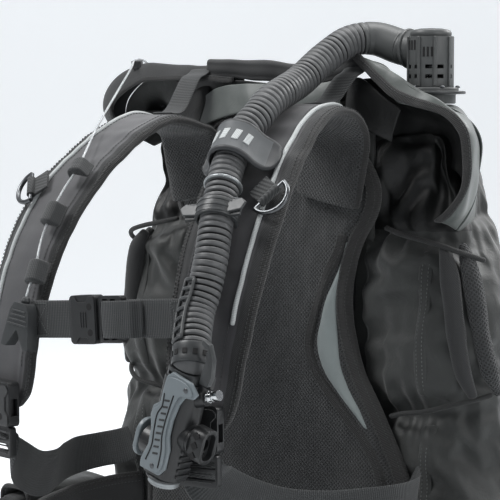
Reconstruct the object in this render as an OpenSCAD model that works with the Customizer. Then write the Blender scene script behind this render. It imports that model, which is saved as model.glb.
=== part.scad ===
/* [Tank band] */
// Radius of the tank that the band clamps
tank_r = 92; // [88:0.5:92]
// Width of the tank band webbing
band_h = 50; // [38:1:52]
// Thickness of the tank band webbing
band_t = 3; // [2:0.5:3]

/* [Shoulder straps] */
// Thickness of the padded shoulder straps
strap_t = 14; // [10:1:14]
// Scale of the strap width along its whole length
strap_wk = 1.0; // [0.9:0.05:1]

/* [Webbing] */
// Width of the sternum strap webbing
sternum_w = 38; // [25:1:40]
// Width of the shoulder and waist webbing
web_w = 50; // [40:1:50]
// Thickness of the webbing
web_t = 2.4; // [1.6:0.2:2.6]

/* [Inflator] */
// Outer diameter of the corrugated inflator hose
hose_d = 33; // [28:1:33]
// Outer diameter of the deflate button
deflate_d = 24; // [18:1:26]

/* [Air cell] */
// Depth of the side lobes behind the back panel
lobe_y = 26; // [10:1:40]
// Thickness of the bladder's gap to the outer shell
cell_gap = 9; // [6:1:12]

/* [Hidden] */

// ---- rules for points -------------------------------------------------
function unit(v) = v / norm(v);
function cr(p0, p1, p2, p3, t) = 0.5 * (2*p1 + (p2 - p0)*t + (2*p0 - 5*p1 + 4*p2 - p3)*t*t + (3*p1 - p0 - 3*p2 + p3)*t*t*t);
function spline(P, n) = let(m = len(P) - 1)
  [for (i = [0:m - 1]) for (k = [0:n - 1]) cr(P[max(i - 1, 0)], P[i], P[i + 1], P[min(i + 2, m)], k/n), P[m]];
function p3(c) = [c[0], c[1], c[2]];
function tang(P, i) = unit(p3(P[min(i + 1, len(P) - 1)]) - p3(P[max(i - 1, 0)]));
function lower(P) = [for (c = P) [c[0], c[1], c[2] - 10*max(0, min(1, (c[2] - 130)/80))*max(0, min(1, (-c[1] - 145)/25)), c[3], c[4], c[5], c[6]]];
function flip(P) = [for (c = P) len(c) > 5 ? [-c[0], c[1], c[2], c[3], c[4], c[5], -c[6]] : [-c[0], c[1], c[2]]];

// closed skin over rings of equal point count
module skin(R) {
  n = len(R[0]); m = len(R);
  polyhedron(points = [for (r = R) for (p = r) p],
    faces = concat([[for (j = [0:n - 1]) j]],
      [for (i = [0:m - 2]) for (j = [0:n - 1]) [i*n + j, (i + 1)*n + j, i*n + (j + 1)%n]],
      [for (i = [0:m - 2]) for (j = [0:n - 1]) [i*n + (j + 1)%n, (i + 1)*n + j, (i + 1)*n + (j + 1)%n]],
      [[for (j = [n - 1:-1:0]) (m - 1)*n + j]]));
}
// flat band along points [x, y, z, width, thickness, width dir x, width dir y]
module band(P) {
  skin([for (i = [0:len(P) - 1])
    let(c = P[i], t = tang(P, i), u0 = [c[5], c[6], 0], u = unit(u0 - (u0*t)*t), v = cross(t, u),
        w = c[3]/2, h = c[4]/2, k = min(w, h)*0.7)
    [for (q = [[w, h - k], [w - k, h], [k - w, h], [-w, h - k], [-w, k - h], [k - w, -h], [w - k, -h], [w, k - h]])
      p3(c) + q[0]*u + q[1]*v]]);
}
// round tube along points
module rope(P, r, n = 8, ref = [1, 0, 0]) {
  skin([for (i = [0:len(P) - 1])
    let(t = tang(P, i), u = unit(cross(ref, t)), v = cross(t, u))
    [for (j = [0:n - 1]) P[i] + r*(cos(360*j/n)*u + sin(360*j/n)*v)]]);
}
// rectangle with round corners
module rr(x, y, r) {
  square([x - 2*r, y], center = true);
  square([x, y - 2*r], center = true);
  for (a = [-1, 1], b = [-1, 1]) translate([a*(x/2 - r), b*(y/2 - r)]) circle(r, $fn = 32);
}
module slab(x, y, z, r) { linear_extrude(z) rr(x, y, r); }

// ---- routes -----------------------------------------------------------
// shoulder strap: x, y, z, width, thickness, width direction
STRAP = [[88, -139, 132, 84, 10, 1, 0], [95, -141, 172, 88, 12, 1, 0.02], [100, -148, 204, 90, strap_t, 0.99, 0.1],
  [104, -170, 223, 92, strap_t, 0.98, 0.17], [106, -205, 228, 92, strap_t, 0.98, 0.17], [111, -245, 212, 96, strap_t, 0.98, 0.17],
  [118, -290, 175, 102, strap_t, 0.98, 0.17], [126, -330, 125, 103, strap_t, 0.98, 0.17], [131, -362, 65, 98, strap_t, 0.98, 0.17],
  [132, -380, 5, 90, strap_t, 0.98, 0.17], [132, -386, -40, 80, strap_t, 0.98, 0.17], [133, -386, -62, 64, strap_t, 0.98, 0.17],
  [133, -386, -76, 34, strap_t, 0.98, 0.17]];
STRAP_W = [for (c = STRAP) [c[0], c[1], c[2], c[3]*strap_wk, c[4], c[5], c[6]]];
// hose centre line from the elbow to the inflator
HOSE = [[156.8, -92, 293], [145, -92, 296], [121, -101, 304], [106, -125, 301], [99, -158, 283], [98, -200, 258], [104, -250, 240],
  [106, -274, 224], [107, -300, 205], [114, -329, 175], [120, -343, 157], [126, -356, 139], [133, -370, 116], [139, -383, 89],
  [141, -395, 61], [142, -405, 42], [147, -415, 26], [153, -424, 12], [156.8, -430, 0], [155, -430.5, -6.5]];
// steel dump cable down the wearer's right strap
CABLE = [[-215, -60, 244], [-215, -72, 268], [-213, -94, 285], [-211, -114, 286], [-202, -130, 276], [-170, -188, 247], [-132, -256, 213], [-108, -298, 188], [-94, -325, 170],
  [-95, -344, 149], [-98, -360, 124], [-96, -377, 96], [-92, -390, 66], [-88.5, -403, 48], [-87, -409, 33]];
LIFT = [[108, -123, 266, 30, 2.4, 1, 0], [108, -133, 262, 30, 2.4, 1, 0], [107, -146, 250, 30, 2.4, 1, 0], [106, -158, 238, 30, 2.4, 1, 0], [105, -170, 233.5, 30, 2.4, 1, 0]];
// waist wing and waist webbing, wearer's left
WING = [[195, -118, -240, 108, 12, 0, 0], [206, -136, -240, 106, 14, 0, 0], [218, -170, -240, 100, 14, 0, 0], [222, -215, -240, 92, 14, 0, 0],
  [214, -265, -240, 82, 14, 0, 0], [190, -312, -240, 70, 12, 0, 0], [165, -340, -240, 56, 10, 0, 0]];
// air cell outline, front view, from the top centre clockwise on the wearer's left
OUT_L = [[20, 258], [60, 272], [95, 276], [130, 272], [155, 262], [172, 243], [200, 242], [232, 234], [244, 215], [226, 190], [214, 165], [214, 110],
  [224, 50], [235, 0], [246, -60], [254, -120], [266, -175], [254, -220], [234, -262], [190, -302], [116, -330], [40, -336]];
OUT_R = [[-40, -336], [-116, -330], [-190, -302], [-234, -262], [-254, -220], [-266, -175], [-254, -120], [-246, -60], [-235, 0], [-224, 50], [-214, 110],
  [-214, 165], [-226, 192], [-249, 213], [-257, 238], [-248, 262], [-212, 281], [-160, 281], [-100, 270], [-40, 258]];
OUTLINE = concat(OUT_L, OUT_R);
function shrink(P, d) = [for (p = P) [p[0]*(1 - d/250), (p[1] + 30)*(1 - d/300) - 30]];
// cross section of the cell, seen from above: thin middle, deep lobes
// ---- soft back --------------------------------------------------------
module lobe(d, zt, zb) {
  for (s = [-1, 1])
    translate([0, 0, zb]) linear_extrude(zt - zb)
      polygon([[s*(101 + d), -98 + d], [s*(146 + d), -98 + d], [s*(150 + d), -109 + d], [s*(232 - d), -109 + d], [s*(268 - d), -80],
        [s*(262 - d), -40], [s*(232 - d), -8], [s*(180 - d), lobe_y - d], [s*(130 + d), lobe_y - d], [s*(103 + d), 4]]);
}
module outline3(d, y0, y1) {
  translate([0, y1, 0]) rotate([90, 0, 0]) linear_extrude(y1 - y0) polygon(shrink(OUTLINE, d));
}
module air_cell() {
  color("#3a3c3b") difference() {
    intersection() {
      outline3(0, -130, 40);
      union() {
        lobe(0, 206, -340);
        // middle panel between the plate and the tank
        translate([-105, -98, -340]) cube([210, 3, 640]);
        // flat top flange
        translate([-280, -116, 242]) cube([560, 18, 60]);
        translate([-280, -98, 200]) cube([560, 3, 100]);
        for (s = [-1, 1]) translate([s > 0 ? 122 : -280, -109, 200]) cube([158, 12, 60]);
      }
    }
    // hollow for the bladder
    intersection() { outline3(cell_gap, -130, 40); lobe(cell_gap, 190, -320); }
    // slots for the tank band, holes for the plate screws
    for (s = [-1, 1]) translate([s*58.5 - 4, -110, -band_h/2 - 2]) cube([8, 20, band_h + 4]);
    for (z = [120, -120], s = [-1, 1]) translate([s*18, -90, z]) rotate([90, 0, 0]) cylinder(r = 3.2, h = 20, $fn = 32);
    // room for the elbow flange
    translate([186, -92, 230]) cylinder(r = 31, h = 40, $fn = 48);
  }
}
module bladder() {
  color("#c9b458") intersection() { outline3(cell_gap + 3, -130, 40); lobe(cell_gap + 3, 186, -316); }
}
module backplate() {
  color("#202223") difference() {
    translate([0, -99, 0]) rotate([90, 0, 0]) linear_extrude(5)
      polygon([[-50, 222], [50, 222], [110, 190], [118, 150], [96, 60], [94, 0], [120, -90], [142, -160], [142, -230], [120, -280], [-120, -280], [-142, -230], [-142, -160], [-120, -90], [-94, 0], [-96, 60], [-118, 150], [-110, 190]]);
    for (s = [-1, 1]) translate([s*58.5 - 4, -110, -band_h/2 - 2]) cube([8, 20, band_h + 4]);
    for (z = [120, -120], s = [-1, 1]) translate([s*18, -90, z]) rotate([90, 0, 0]) cylinder(r = 3.2, h = 20, $fn = 32);
    // lightening slots
    for (z = [70, -75, -200], s = [-1, 1]) translate([s*62, -90, z]) rotate([90, 0, 0]) linear_extrude(20) rr(26, 60, 12);
  }
}
module plate_screws() {
  color("#8d9092") for (z = [120, -120], s = [-1, 1]) translate([s*18, 0, z]) rotate([90, 0, 0]) {
    translate([0, 0, 94.8]) cylinder(r = 3, h = 11.7, $fn = 32);
    translate([0, 0, 93.4]) cylinder(r = 7, h = 1.5, $fn = 32);
    translate([0, 0, 104.3]) cylinder(r = 7, h = 2.2, $fn = 32);
  }
}
module tank_pads() {
  color("#1b1c1d") for (s = [-1, 1]) difference() {
    translate([s*37 - 9, -94.9, -110]) cube([18, 15, 220]);
    translate([0, 0, -120]) cylinder(r = 93, h = 240, $fn = 96);
    translate([s*37 - 10, -96, -band_h/2 - 2]) cube([20, 30, 0.01]);
  }
}
module back_pad() {
  color("#2c2e30") difference() {
    translate([0, -110, 0]) rotate([90, 0, 0]) linear_extrude(21)
      polygon([for (p = spline([[0, 238], [40, 235], [84, 216], [112, 190], [132, 168], [141, 147], [137, 121], [120, 95], [108, 63], [104, 28], [108, -8],
        [121, -47], [141, -80], [162, -118], [178, -150], [186, -185], [184, -235], [160, -282], [100, -305], [0, -310]], 2)) p,
        for (q = spline([[-100, -305], [-160, -282], [-184, -235], [-186, -185], [-178, -150], [-162, -118], [-141, -80], [-121, -47], [-108, -8],
        [-104, 28], [-108, 63], [-120, 95], [-137, 121], [-141, 147], [-132, 168], [-112, 190], [-84, 216], [-40, 235]], 2)) q]);
    // relief over the band's front run
    translate([-66, -118, -band_h/2 - 4]) cube([132, 9, band_h + 8]);
    for (z = [120, -120], s = [-1, 1]) translate([s*18, -105, z]) rotate([90, 0, 0]) cylinder(r = 9, h = 8, $fn = 32);
  }
}

// ---- shoulder harness -------------------------------------------------
module strap(s) { color("#4a4b4e") band(spline(s > 0 ? STRAP_W : lower(flip(STRAP_W)), 3)); }
module shoulder_strap_left() { strap(1); }
module shoulder_strap_right() { strap(-1); }
module load_lifter_left() { color("#4b4f4f") translate([0, 0, 2.6]) band(spline(LIFT, 2)); }
module load_lifter_right() { color("#4b4f4f") translate([0, 0, 2.6]) band(spline(flip(LIFT), 2)); }

// side release buckle, strap along X: socket from x = 0 to -L, plug from 0 outwards
module socket(w, L) {
  difference() {
    translate([-L/2, 0, 0]) slab(L, w + 10, 13, 5);
    translate([-L + 12, -(w + 2)/2, 2.5]) cube([L, w + 2, 8]);
    for (s = [-1, 1]) translate([-L/2 + 3, s*(w/2 + 5), 6.5]) rotate([0, 0, 0]) cube([L*0.38, 12, 8], center = true);
    translate([-L + 5, -w/2 - 1, -1]) cube([4, w + 2, 20]);
  }
}
module plug(w, L) {
  // prongs and guide
  for (s = [-1, 1]) translate([-L + 15, s > 0 ? w/2 - 6.5 : -w/2 + 0.5, 3.2]) cube([L - 13, 6, 6.6]);
  translate([-L*0.4, -3, 3.2]) cube([L*0.4 + 2, 6, 6.6]);
  // ladder frame that the webbing threads through
  difference() {
    translate([16.4, 0, 3.2]) slab(32, w + 8, 7.6, 4);
    for (x = [7, 18]) translate([x, -w/2 - 1, 0]) cube([7, w + 2, 20]);
  }
}
// sternum strap frame: X along the strap, Z outwards
module at_sternum() { translate([15, -398, 26]) rotate([0, -4, 0]) rotate([90, 0, 0]) children(); }
module sternum_socket() { color("#1c1d1f") at_sternum() socket(sternum_w, 36); }
module sternum_plug() { color("#17181a") at_sternum() plug(sternum_w, 36); }
module sternum_web_left() { color("#3b3d3e") at_sternum() translate([55, 0, 0.2]) linear_extrude(web_t) square([104, sternum_w], center = true); }
module sternum_web_right() { color("#3b3d3e") at_sternum() {
    translate([-72, 0, 0.2]) linear_extrude(web_t) square([68, sternum_w], center = true);
  } }
// shoulder buckle frame on one strap: X down the strap, Z outwards
module at_shoulder(s) { translate([s*133, -396.5, -92]) rotate([0, 0, s*10]) rotate([90, 0, 0]) rotate([0, 0, -90]) children(); }
module shoulder_socket_left() { color("#1c1d1f") at_shoulder(1) socket(web_w, 46); }
module shoulder_socket_right() { color("#1c1d1f") at_shoulder(-1) socket(web_w, 46); }
module shoulder_plug_left() { color("#17181a") at_shoulder(1) plug(web_w, 46); }
module shoulder_plug_right() { color("#17181a") at_shoulder(-1) plug(web_w, 46); }
LOWER_W = [[133, -393.5, -97, web_w, web_t, 0.985, 0.174], [134.5, -391, -110, web_w, web_t, 0.985, 0.174], [140, -378, -128, web_w, web_t, 0.9, 0.4],
  [152, -348, -146, web_w, web_t, 0.8, 0.6], [170, -312, -160, web_w, web_t, 0.7, 0.7], [190, -272, -166, web_w, web_t, 0.6, 0.8],
  [212, -235, -165, 48, web_t, 0.3, 0.95], [226, -200, -162, 44, web_t, 0, 1], [222, -165, -159, 40, web_t, -0.4, 0.9],
  [206, -144, -155, 40, web_t, -0.8, 0.6], [194, -136, -150, 40, web_t, -0.9, 0.4]];
module lower_web_left() { color("#303233") band2(LOWER_W, 1); }
module lower_web_right() { color("#303233") band2(LOWER_W, -1); }
// band whose width stays upright where it runs sideways
module band2(P, s) {
  Q = spline(P, 3);
  skin([for (i = [0:len(Q) - 1])
    let(c = Q[i], t = tang(Q, i), k = min(1, max(0, (i - 2)/6)), u0 = unit((1 - k)*[c[5], c[6], 0] + k*[0, 0.25, 1]), u = unit(u0 - (u0*t)*t), v = cross(t, u),
        w = c[3]/2, h = c[4]/2, m = s)
    [for (q = s > 0 ? [[w, h], [-w, h], [-w, -h], [w, -h]] : [[w, -h], [-w, -h], [-w, h], [w, h]])
      let(p = p3(c) + q[0]*u + q[1]*v) [m*p[0], p[1], p[2]]]]);
}
// D-ring hanging on a tab: bar along X, ring in the XY plane
module on_strap(s, p, a) { translate([s*p[0], p[1], p[2]]) rotate([0, 0, s*10]) rotate([a, 0, 0]) children(); }
module d_ring(s) {
  color("#2a2c2e") on_strap(s, [163, -325.5, 148.5], 57) rotate([0, 0, s*55]) {
    rotate([0, 90, 0]) translate([0, 0, -19]) cylinder(r = 2.5, h = 38, $fn = 24);
    translate([0, 0, 0]) mirror([0, 1, 0]) rotate_extrude(angle = 180, $fn = 48) translate([19, 0]) circle(2.5, $fn = 16);
  }
}
module d_ring_left() { d_ring(1); }
module d_ring_right() { d_ring(-1); }
module d_ring_tabs() {
  color("#303233") for (s = [-1, 1]) on_strap(s, [163, -325.5, 148.5], 57) rotate([0, 0, s*55]) difference() {
    union() {
      rotate([0, 90, 0]) translate([0, 0, -12]) cylinder(r = 4.4, h = 24, $fn = 32);
      translate([-12, 0, -4.4]) cube([24, 22, 3]);
    }
    rotate([0, 90, 0]) translate([0, 0, -13]) cylinder(r = 2.56, h = 26, $fn = 32);
  }
}

// ---- hose run ---------------------------------------------------------
module inflator_hose() { color("#333537") rope(spline(HOSE, 3), hose_d/2, 12, [0.6, -0.5, 0.6]); }
// frame on the hose under the keeper band
module at_keeper() { translate([110.8, -313.5, 191.5]) rotate([0, 0, 6]) rotate([46, 0, 0]) rotate([0, 0, 7]) children(); }
module hose_band() {
  color("#55585a") at_keeper() difference() {
    union() {
      rotate([90, 0, 0]) translate([0, 0, -20]) cylinder(r = hose_d/2 + 4.6, h = 40, $fn = 64);
      translate([-40, -20, -18]) cube([80, 40, 2.2]);
    }
    rotate([90, 0, 0]) translate([0, 0, -30]) cylinder(r = hose_d/2 + 2.2, h = 60, $fn = 64);
    translate([-60, -40, -50]) cube([120, 80, 32]);
  }
}
module at_clip() { translate([128.5, -361, 131]) rotate([0, 0, 8]) rotate([57, 0, 0]) rotate([0, 0, 9]) children(); }
module hose_clip() {
  color("#232527") at_clip() difference() {
    union() {
      rotate([90, 0, 0]) translate([0, 0, -9]) cylinder(r = hose_d/2 + 4.5, h = 18, $fn = 64);
      translate([14, -9, 6]) cube([16, 18, 3]);
      translate([-30, -9, 6]) cube([16, 18, 3]);
    }
    rotate([90, 0, 0]) translate([0, 0, -20]) cylinder(r = hose_d/2 + 1.4, h = 40, $fn = 64);
    translate([-12, -20, -40]) cube([24, 40, 30]);
    translate([-60, -40, -60]) cube([120, 80, 42.5]);
  }
}
// elbow on top of the cell, vertical axis
module at_elbow() { translate([186, -92, 0]) children(); }
module hose_elbow() {
  color("#1d1f20") at_elbow() difference() {
    union() {
      translate([0, 0, 253]) cylinder(r = 24, h = 52, $fn = 64);
      translate([0, 0, 305]) cylinder(r = 20, h = 6, $fn = 64);
      translate([0, 0, 293]) rotate([0, -90, 0]) cylinder(r = 19, h = 29, $fn = 64);
    }
    translate([0, 0, 252]) cylinder(r = 20, h = 34, $fn = 64);
    translate([0, 0, 293]) rotate([0, -90, 0]) cylinder(r = 13.5, h = 40, $fn = 48);
    translate([0, 0, 280]) cylinder(r = 12, h = 10, $fn = 32);
    // exhaust slots
    for (a = [-150:30:0], z = [262, 272]) rotate([0, 0, a]) translate([17, -3.5, z]) cube([10, 7, 4]);
  }
}
module elbow_flange() {
  color("#2a2c2d") at_elbow() difference() {
    union() {
      translate([0, 0, 236]) cylinder(r = 26, h = 10, $fn = 64);
      translate([0, 0, 246]) cylinder(r = 29, h = 6.8, $fn = 64);
    }
    translate([0, 0, 230]) cylinder(r = 15, h = 30, $fn = 48);
  }
}
module elbow_disc() { color("#6b6e70") at_elbow() translate([0, 0, 253.4]) { cylinder(r = 17.5, h = 3, $fn = 48); cylinder(r = 5, h = 6, $fn = 32); } }
module elbow_spring() {
  color("#b9bcbf") at_elbow() rope([for (i = [0:60]) [8.4*cos(i*30), 8.4*sin(i*30), 257.3 + 21.6*i/60]], 0.9, 6, [0, 0, 1]);
}

// ---- inflator: local Z up its axis, X to the wearer's left ------------
module at_inf() { translate([151.5, -430.5, -18]) rotate([0, 17, 0]) children(); }
module inflator_collar() {
  color("#232527") at_inf() difference() {
    translate([0, 0, 0.4]) slab(36, 33, 9, 12);
    translate([0, 0, -5]) cylinder(r = 8, h = 30, $fn = 48);
    for (x = [-9, 0, 9]) translate([x - 2, -20, 3]) cube([4, 7, 3.4]);
  }
}
module inflator_body() {
  color("#202224") at_inf() difference() {
    union() {
      translate([0, 0, -96]) slab(40, 33, 96, 12);
      translate([-14, 0, -72]) rotate([0, -90, 0]) cylinder(r = 15, h = 14, $fn = 48);
      translate([10, 0, -18]) rotate([0, 60, 0]) cylinder(r = 8, h = 20, $fn = 32);
      translate([18.3, -5.7, -9]) cube([5.7, 5.4, 16]);
      translate([20, -5.7, 2]) cube([13, 5.4, 12]);
      translate([10, 0, -52]) rotate([0, 90, 0]) cylinder(r = 14, h = 14, $fn = 48);
    }
    // inflate button bore, deflate button bore, air way, mouth bore
    translate([-30, 0, -72]) rotate([0, 90, 0]) cylinder(r = 10.2, h = 27, $fn = 48);
    translate([0, 0, -97]) cylinder(r = 11.2, h = 20.5, $fn = 48);
    translate([0, 0, -78]) cylinder(r = 6, h = 79, $fn = 32);
    translate([2, 0, -52]) rotate([0, 90, 0]) cylinder(r = 9, h = 30, $fn = 48);
    translate([8, 0, -19.2]) rotate([0, 60, 0]) cylinder(r = 4.1, h = 40, $fn = 32);
    translate([29, 20, 9]) rotate([90, 0, 0]) cylinder(r = 2.06, h = 60, $fn = 24);
  }
}
module inflator_cover() {
  color("#84898c") at_inf() translate([0, -16.8, 0]) rotate([90, 0, 0]) linear_extrude(4)
    polygon([[-8, 2], [-2, 8], [22, 6], [32, -2], [28, -8], [18, -10], [13, -20], [10, -36], [10, -52], [14, -64], [14, -84], [8, -92], [-16, -92], [-17, -84], [-12, -68], [-13, -52], [-17, -40], [-16, -30], [-9, -24], [-9, -10]]);
}
module hook_lever() {
  color("#9a9ea1") at_inf() difference() {
    union() {
      translate([29, -0.5, 9]) rotate([90, 0, 0]) cylinder(r = 2, h = 8, $fn = 24);
      translate([27, -6, 12]) rotate([90, 0, 0]) linear_extrude(6) polygon([[-3, -6], [7, -6], [9, 4], [6, 20], [-2, 32], [-10, 34], [-10, 30], [-4, 27], [-1, 18], [-3, 6]]);
    }
    translate([24.2, -20, 38]) rotate([-90, 0, 0]) cylinder(r = 1.4, h = 60, $fn = 24);
  }
}
module inflate_button() {
  color("#2e3133") at_inf() translate([0, 0, -72]) rotate([0, -90, 0]) {
    translate([0, 0, 12.5]) cylinder(r = 10.1, h = 15.5, $fn = 48);
    translate([0, 0, 31.4]) linear_extrude(5) rr(38, 26, 12.5);
    translate([0, 0, 28]) cylinder(r = 8, h = 4, $fn = 48);
  }
}
module inflate_spring() {
  color("#b9bcbf") at_inf() translate([0, 0, -72]) rotate([0, -90, 0]) rope([for (i = [0:36]) [5.5*cos(i*30), 5.5*sin(i*30), 6.9 + 5*i/36]], 0.5, 6, [0, 0, 1]);
}
module deflate_button() {
  color("#2e3133") at_inf() {
    translate([0, 0, -96]) cylinder(r = 11.1, h = 9.5, $fn = 48);
    translate([0, 0, -100.4]) cylinder(r = 8, h = 5, $fn = 48);
    translate([0, 0, -104.6]) cylinder(r = deflate_d/2 + 3, h = 4.4, $fn = 64);
  }
}
module deflate_spring() {
  color("#b9bcbf") at_inf() rope([for (i = [0:24]) [5.2*cos(i*30), 5.2*sin(i*30), -85.9 + 2.9*i/24]], 0.5, 6, [0, 0, 1]);
}
module mouthpiece() {
  color("#1b1c1e") at_inf() translate([0, 0, -52]) rotate([0, 90, 0]) difference() {
    union() {
      translate([0, 0, 24.3]) cylinder(r = 14, h = 3, $fn = 48);
      translate([0, 0, 12]) cylinder(r = 8.9, h = 13, $fn = 48);
      translate([0, 0, 27]) linear_extrude(16) rr(34, 22, 10);
    }
    translate([0, 0, 8]) cylinder(r = 6, h = 30, $fn = 32);
    translate([0, 0, 37]) linear_extrude(10) rr(26, 14, 6);
    for (a = [-9, 0, 9]) translate([a, 0, 32]) rotate([0, 0, 45]) cube([4, 4, 40], center = true);
  }
}
module qd_nipple() {
  color("#c8cacc") at_inf() translate([8, 0, -19.2]) rotate([0, 60, 0]) {
    translate([0, 0, 12]) cylinder(r = 4, h = 26, $fn = 32);
    translate([0, 0, 22.8]) cylinder(r = 6, h = 3.2, $fn = 6);
    translate([0, 0, 26]) cylinder(r = 5, h = 4, $fn = 32);
    translate([0, 0, 32.5]) cylinder(r = 5, h = 5.5, $fn = 32);
  }
}

// ---- dump line --------------------------------------------------------
module dump_cable() { color("#a9acae") rope(spline(CABLE, 3), 1.25, 8, [1, 0, 0]); }
module cable_guides() {
  color("#1f2122") for (g = [[-94, -325, 170, 41, 20, 20], [-98, -360, 124, 58, 26, 4], [-92, -390, 66, 62, 26, 12]])
    translate([g[0], g[1], g[2]]) rotate([0, 0, -10]) rotate([g[3], 0, 0]) rotate([0, 0, g[5]]) difference() {
      translate([-10, -g[4]/2, -7]) cube([20, g[4], 13.4]);
      translate([-7, -30, -4.4]) cube([14, 60, 8.8]);
    }
}
module at_knob() { translate([-87, -409, 30]) rotate([0, 8, 0]) rotate([-4, 0, 0]) children(); }
module dump_knob() {
  color("#26292b") at_knob() difference() {
    union() {
      translate([0, 6, -40]) rotate([90, 0, 0]) linear_extrude(14)
        polygon([[-8, 46], [8, 46], [13, 38], [19, 4], [19, 0], [-19, 0], [-19, 4], [-13, 38]]);
    }
    translate([0, 0, -12]) cylinder(r = 3.4, h = 40, $fn = 24);
    translate([0, 30, -40]) rotate([90, 0, 0]) linear_extrude(60) polygon([[-13, -1], [13, -1], [0, 19]]);
  }
}
module dump_valve() {
  color("#222426") translate([-215, -60, 206.5]) difference() {
    union() { cylinder(r = 28, h = 12, $fn = 64); translate([0, 0, 12]) cylinder(r = 24, h = 10, $fn = 64); }
    translate([0, 0, 3]) cylinder(r = 20, h = 15, $fn = 64);
    translate([0, 0, -1]) cylinder(r = 12, h = 10, $fn = 48);
    translate([0, 0, 10]) cylinder(r = 3.2, h = 20, $fn = 24);
    for (a = [0:45:315]) rotate([0, 0, a]) translate([18, -3, 13]) cube([10, 6, 4]);
  }
}
module dump_plunger() {
  color("#5d6062") translate([-215, -60, 209.8]) { cylinder(r = 16, h = 3, $fn = 48); cylinder(r = 3.14, h = 24, $fn = 24); translate([0, 0, 22]) cylinder(r = 5, h = 3, $fn = 24); }
}

// ---- waist ------------------------------------------------------------
module wing(s) {
  Q = spline(WING, 3);
  skin([for (i = [0:len(Q) - 1])
    let(c = Q[i], t = tang(Q, i), u = [0, 0, 1], v = cross(t, u), w = c[3]/2, h = c[4]/2, k = h*0.7)
    [for (q0 = [[w, h - k], [w - k, h], [k - w, h], [-w, h - k], [-w, k - h], [k - w, -h], [w - k, -h], [w, k - h]])
      let(q = s > 0 ? q0 : [q0[0], -q0[1]], p = p3(c) + q[0]*u + q[1]*v) [s*p[0], p[1], p[2]]]]);
}
module waist_wings() { color("#303234") { wing(1); wing(-1); } }
WAISTW = [[175, -347, -240], [160, -362, -240], [140, -375, -240], [118, -383, -240], [95, -386, -240], [70, -386, -240], [45, -386, -240]];
module waist_web(s, P) {
  Q = spline(P, 2);
  skin([for (i = [0:len(Q) - 1])
    let(c = Q[i], t = tang(Q, i), u = [0, 0, 1], v = cross(t, u), w = web_w/2, h = web_t/2)
    [for (q0 = [[w, h], [-w, h], [-w, -h], [w, -h]]) let(q = s > 0 ? q0 : [q0[0], -q0[1]], p = c + q[0]*u + q[1]*v) [s*p[0], p[1], p[2]]]]);
}
module at_waist() { translate([6, -388, -240]) rotate([90, 0, 0]) children(); }
module waist_web_left() { color("#303233") waist_web(1, concat(WAISTW, [[10, -386, -240]])); }
module waist_web_right() { color("#303233") waist_web(-1, WAISTW); }
module waist_socket() { color("#1c1d1f") at_waist() socket(web_w, 46); }
module waist_plug() { color("#17181a") at_waist() plug(web_w, 46); }
// pocket sleeve outside the wing, mouth forwards
module at_pocket(s) { translate([s*236, -130, -246]) rotate([0, 0, s*4]) children(); }
module pocket(s) {
  color("#343638") at_pocket(s) difference() {
    translate([0, -55, -52]) rotate([0, 0, 0]) translate([s*23, -10, 0]) linear_extrude(104) rr(46, 130, 10);
    translate([s*23, -61, -46]) linear_extrude(92) rr(36, 132, 6);
    translate([s*23 - 18, -140, -46]) cube([36, 20, 92]);
  }
}
module weight_pocket_left() { pocket(1); }
module weight_pocket_right() { pocket(-1); }
module pouch(s) {
  color("#26282a") at_pocket(s) {
    translate([s*23, -66, -43]) linear_extrude(86) rr(32, 118, 8);
    translate([s*23 - 16, -136, -43]) cube([32, 18, 86]);
    translate([s*23 - 5, -156, -28]) difference() { cube([10, 21, 56]); translate([-1, 5, 8]) cube([12, 20, 40]); }
  }
}
module weight_pouch_left() { pouch(1); }
module weight_pouch_right() { pouch(-1); }

// ---- tank band --------------------------------------------------------
module tank_band() {
  color("#2b2d2e") union() {
    difference() {
      translate([0, 0, -band_h/2]) cylinder(r = tank_r + band_t, h = band_h, $fn = 128);
      translate([0, 0, -band_h]) cylinder(r = tank_r, h = 2*band_h, $fn = 128);
      translate([-60, -120, -band_h]) cube([120, 60, 2*band_h]);
    }
    for (s = [-1, 1]) translate([s > 0 ? 57.2 : -60.2, -107.5, -band_h/2]) cube([3, 35.5, band_h]);
    translate([-60.2, -108, -band_h/2]) cube([120.4, 2.5, band_h]);
  }
}
module cam_frame() {
  color("#2c2e30") difference() {
    union() {
      translate([-34, tank_r + band_t + 0.3, -29]) cube([58, 3, 58]);
      for (z = [-29, 26]) translate([-34, tank_r + band_t + 0.3, z]) cube([20, 15, 3]);
    }
    for (x = [-6, 10]) translate([x, tank_r, -26]) cube([6, 20, 52]);
    translate([-26, tank_r + band_t + 9, -40]) cylinder(r = 2.56, h = 80, $fn = 32);
  }
}
module cam_lever() {
  color("#1f2123") difference() {
    union() {
      translate([-26, tank_r + band_t + 9, -25.6]) cylinder(r = 5, h = 51.2, $fn = 48);
      translate([-26, tank_r + band_t + 6.5, -25.6]) cube([66, 6, 51.2]);
      translate([-26, tank_r + band_t + 9, -29]) cylinder(r = 2.5, h = 58, $fn = 32);
    }
    translate([0, tank_r, -16]) cube([8, 40, 32]);
  }
}

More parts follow.
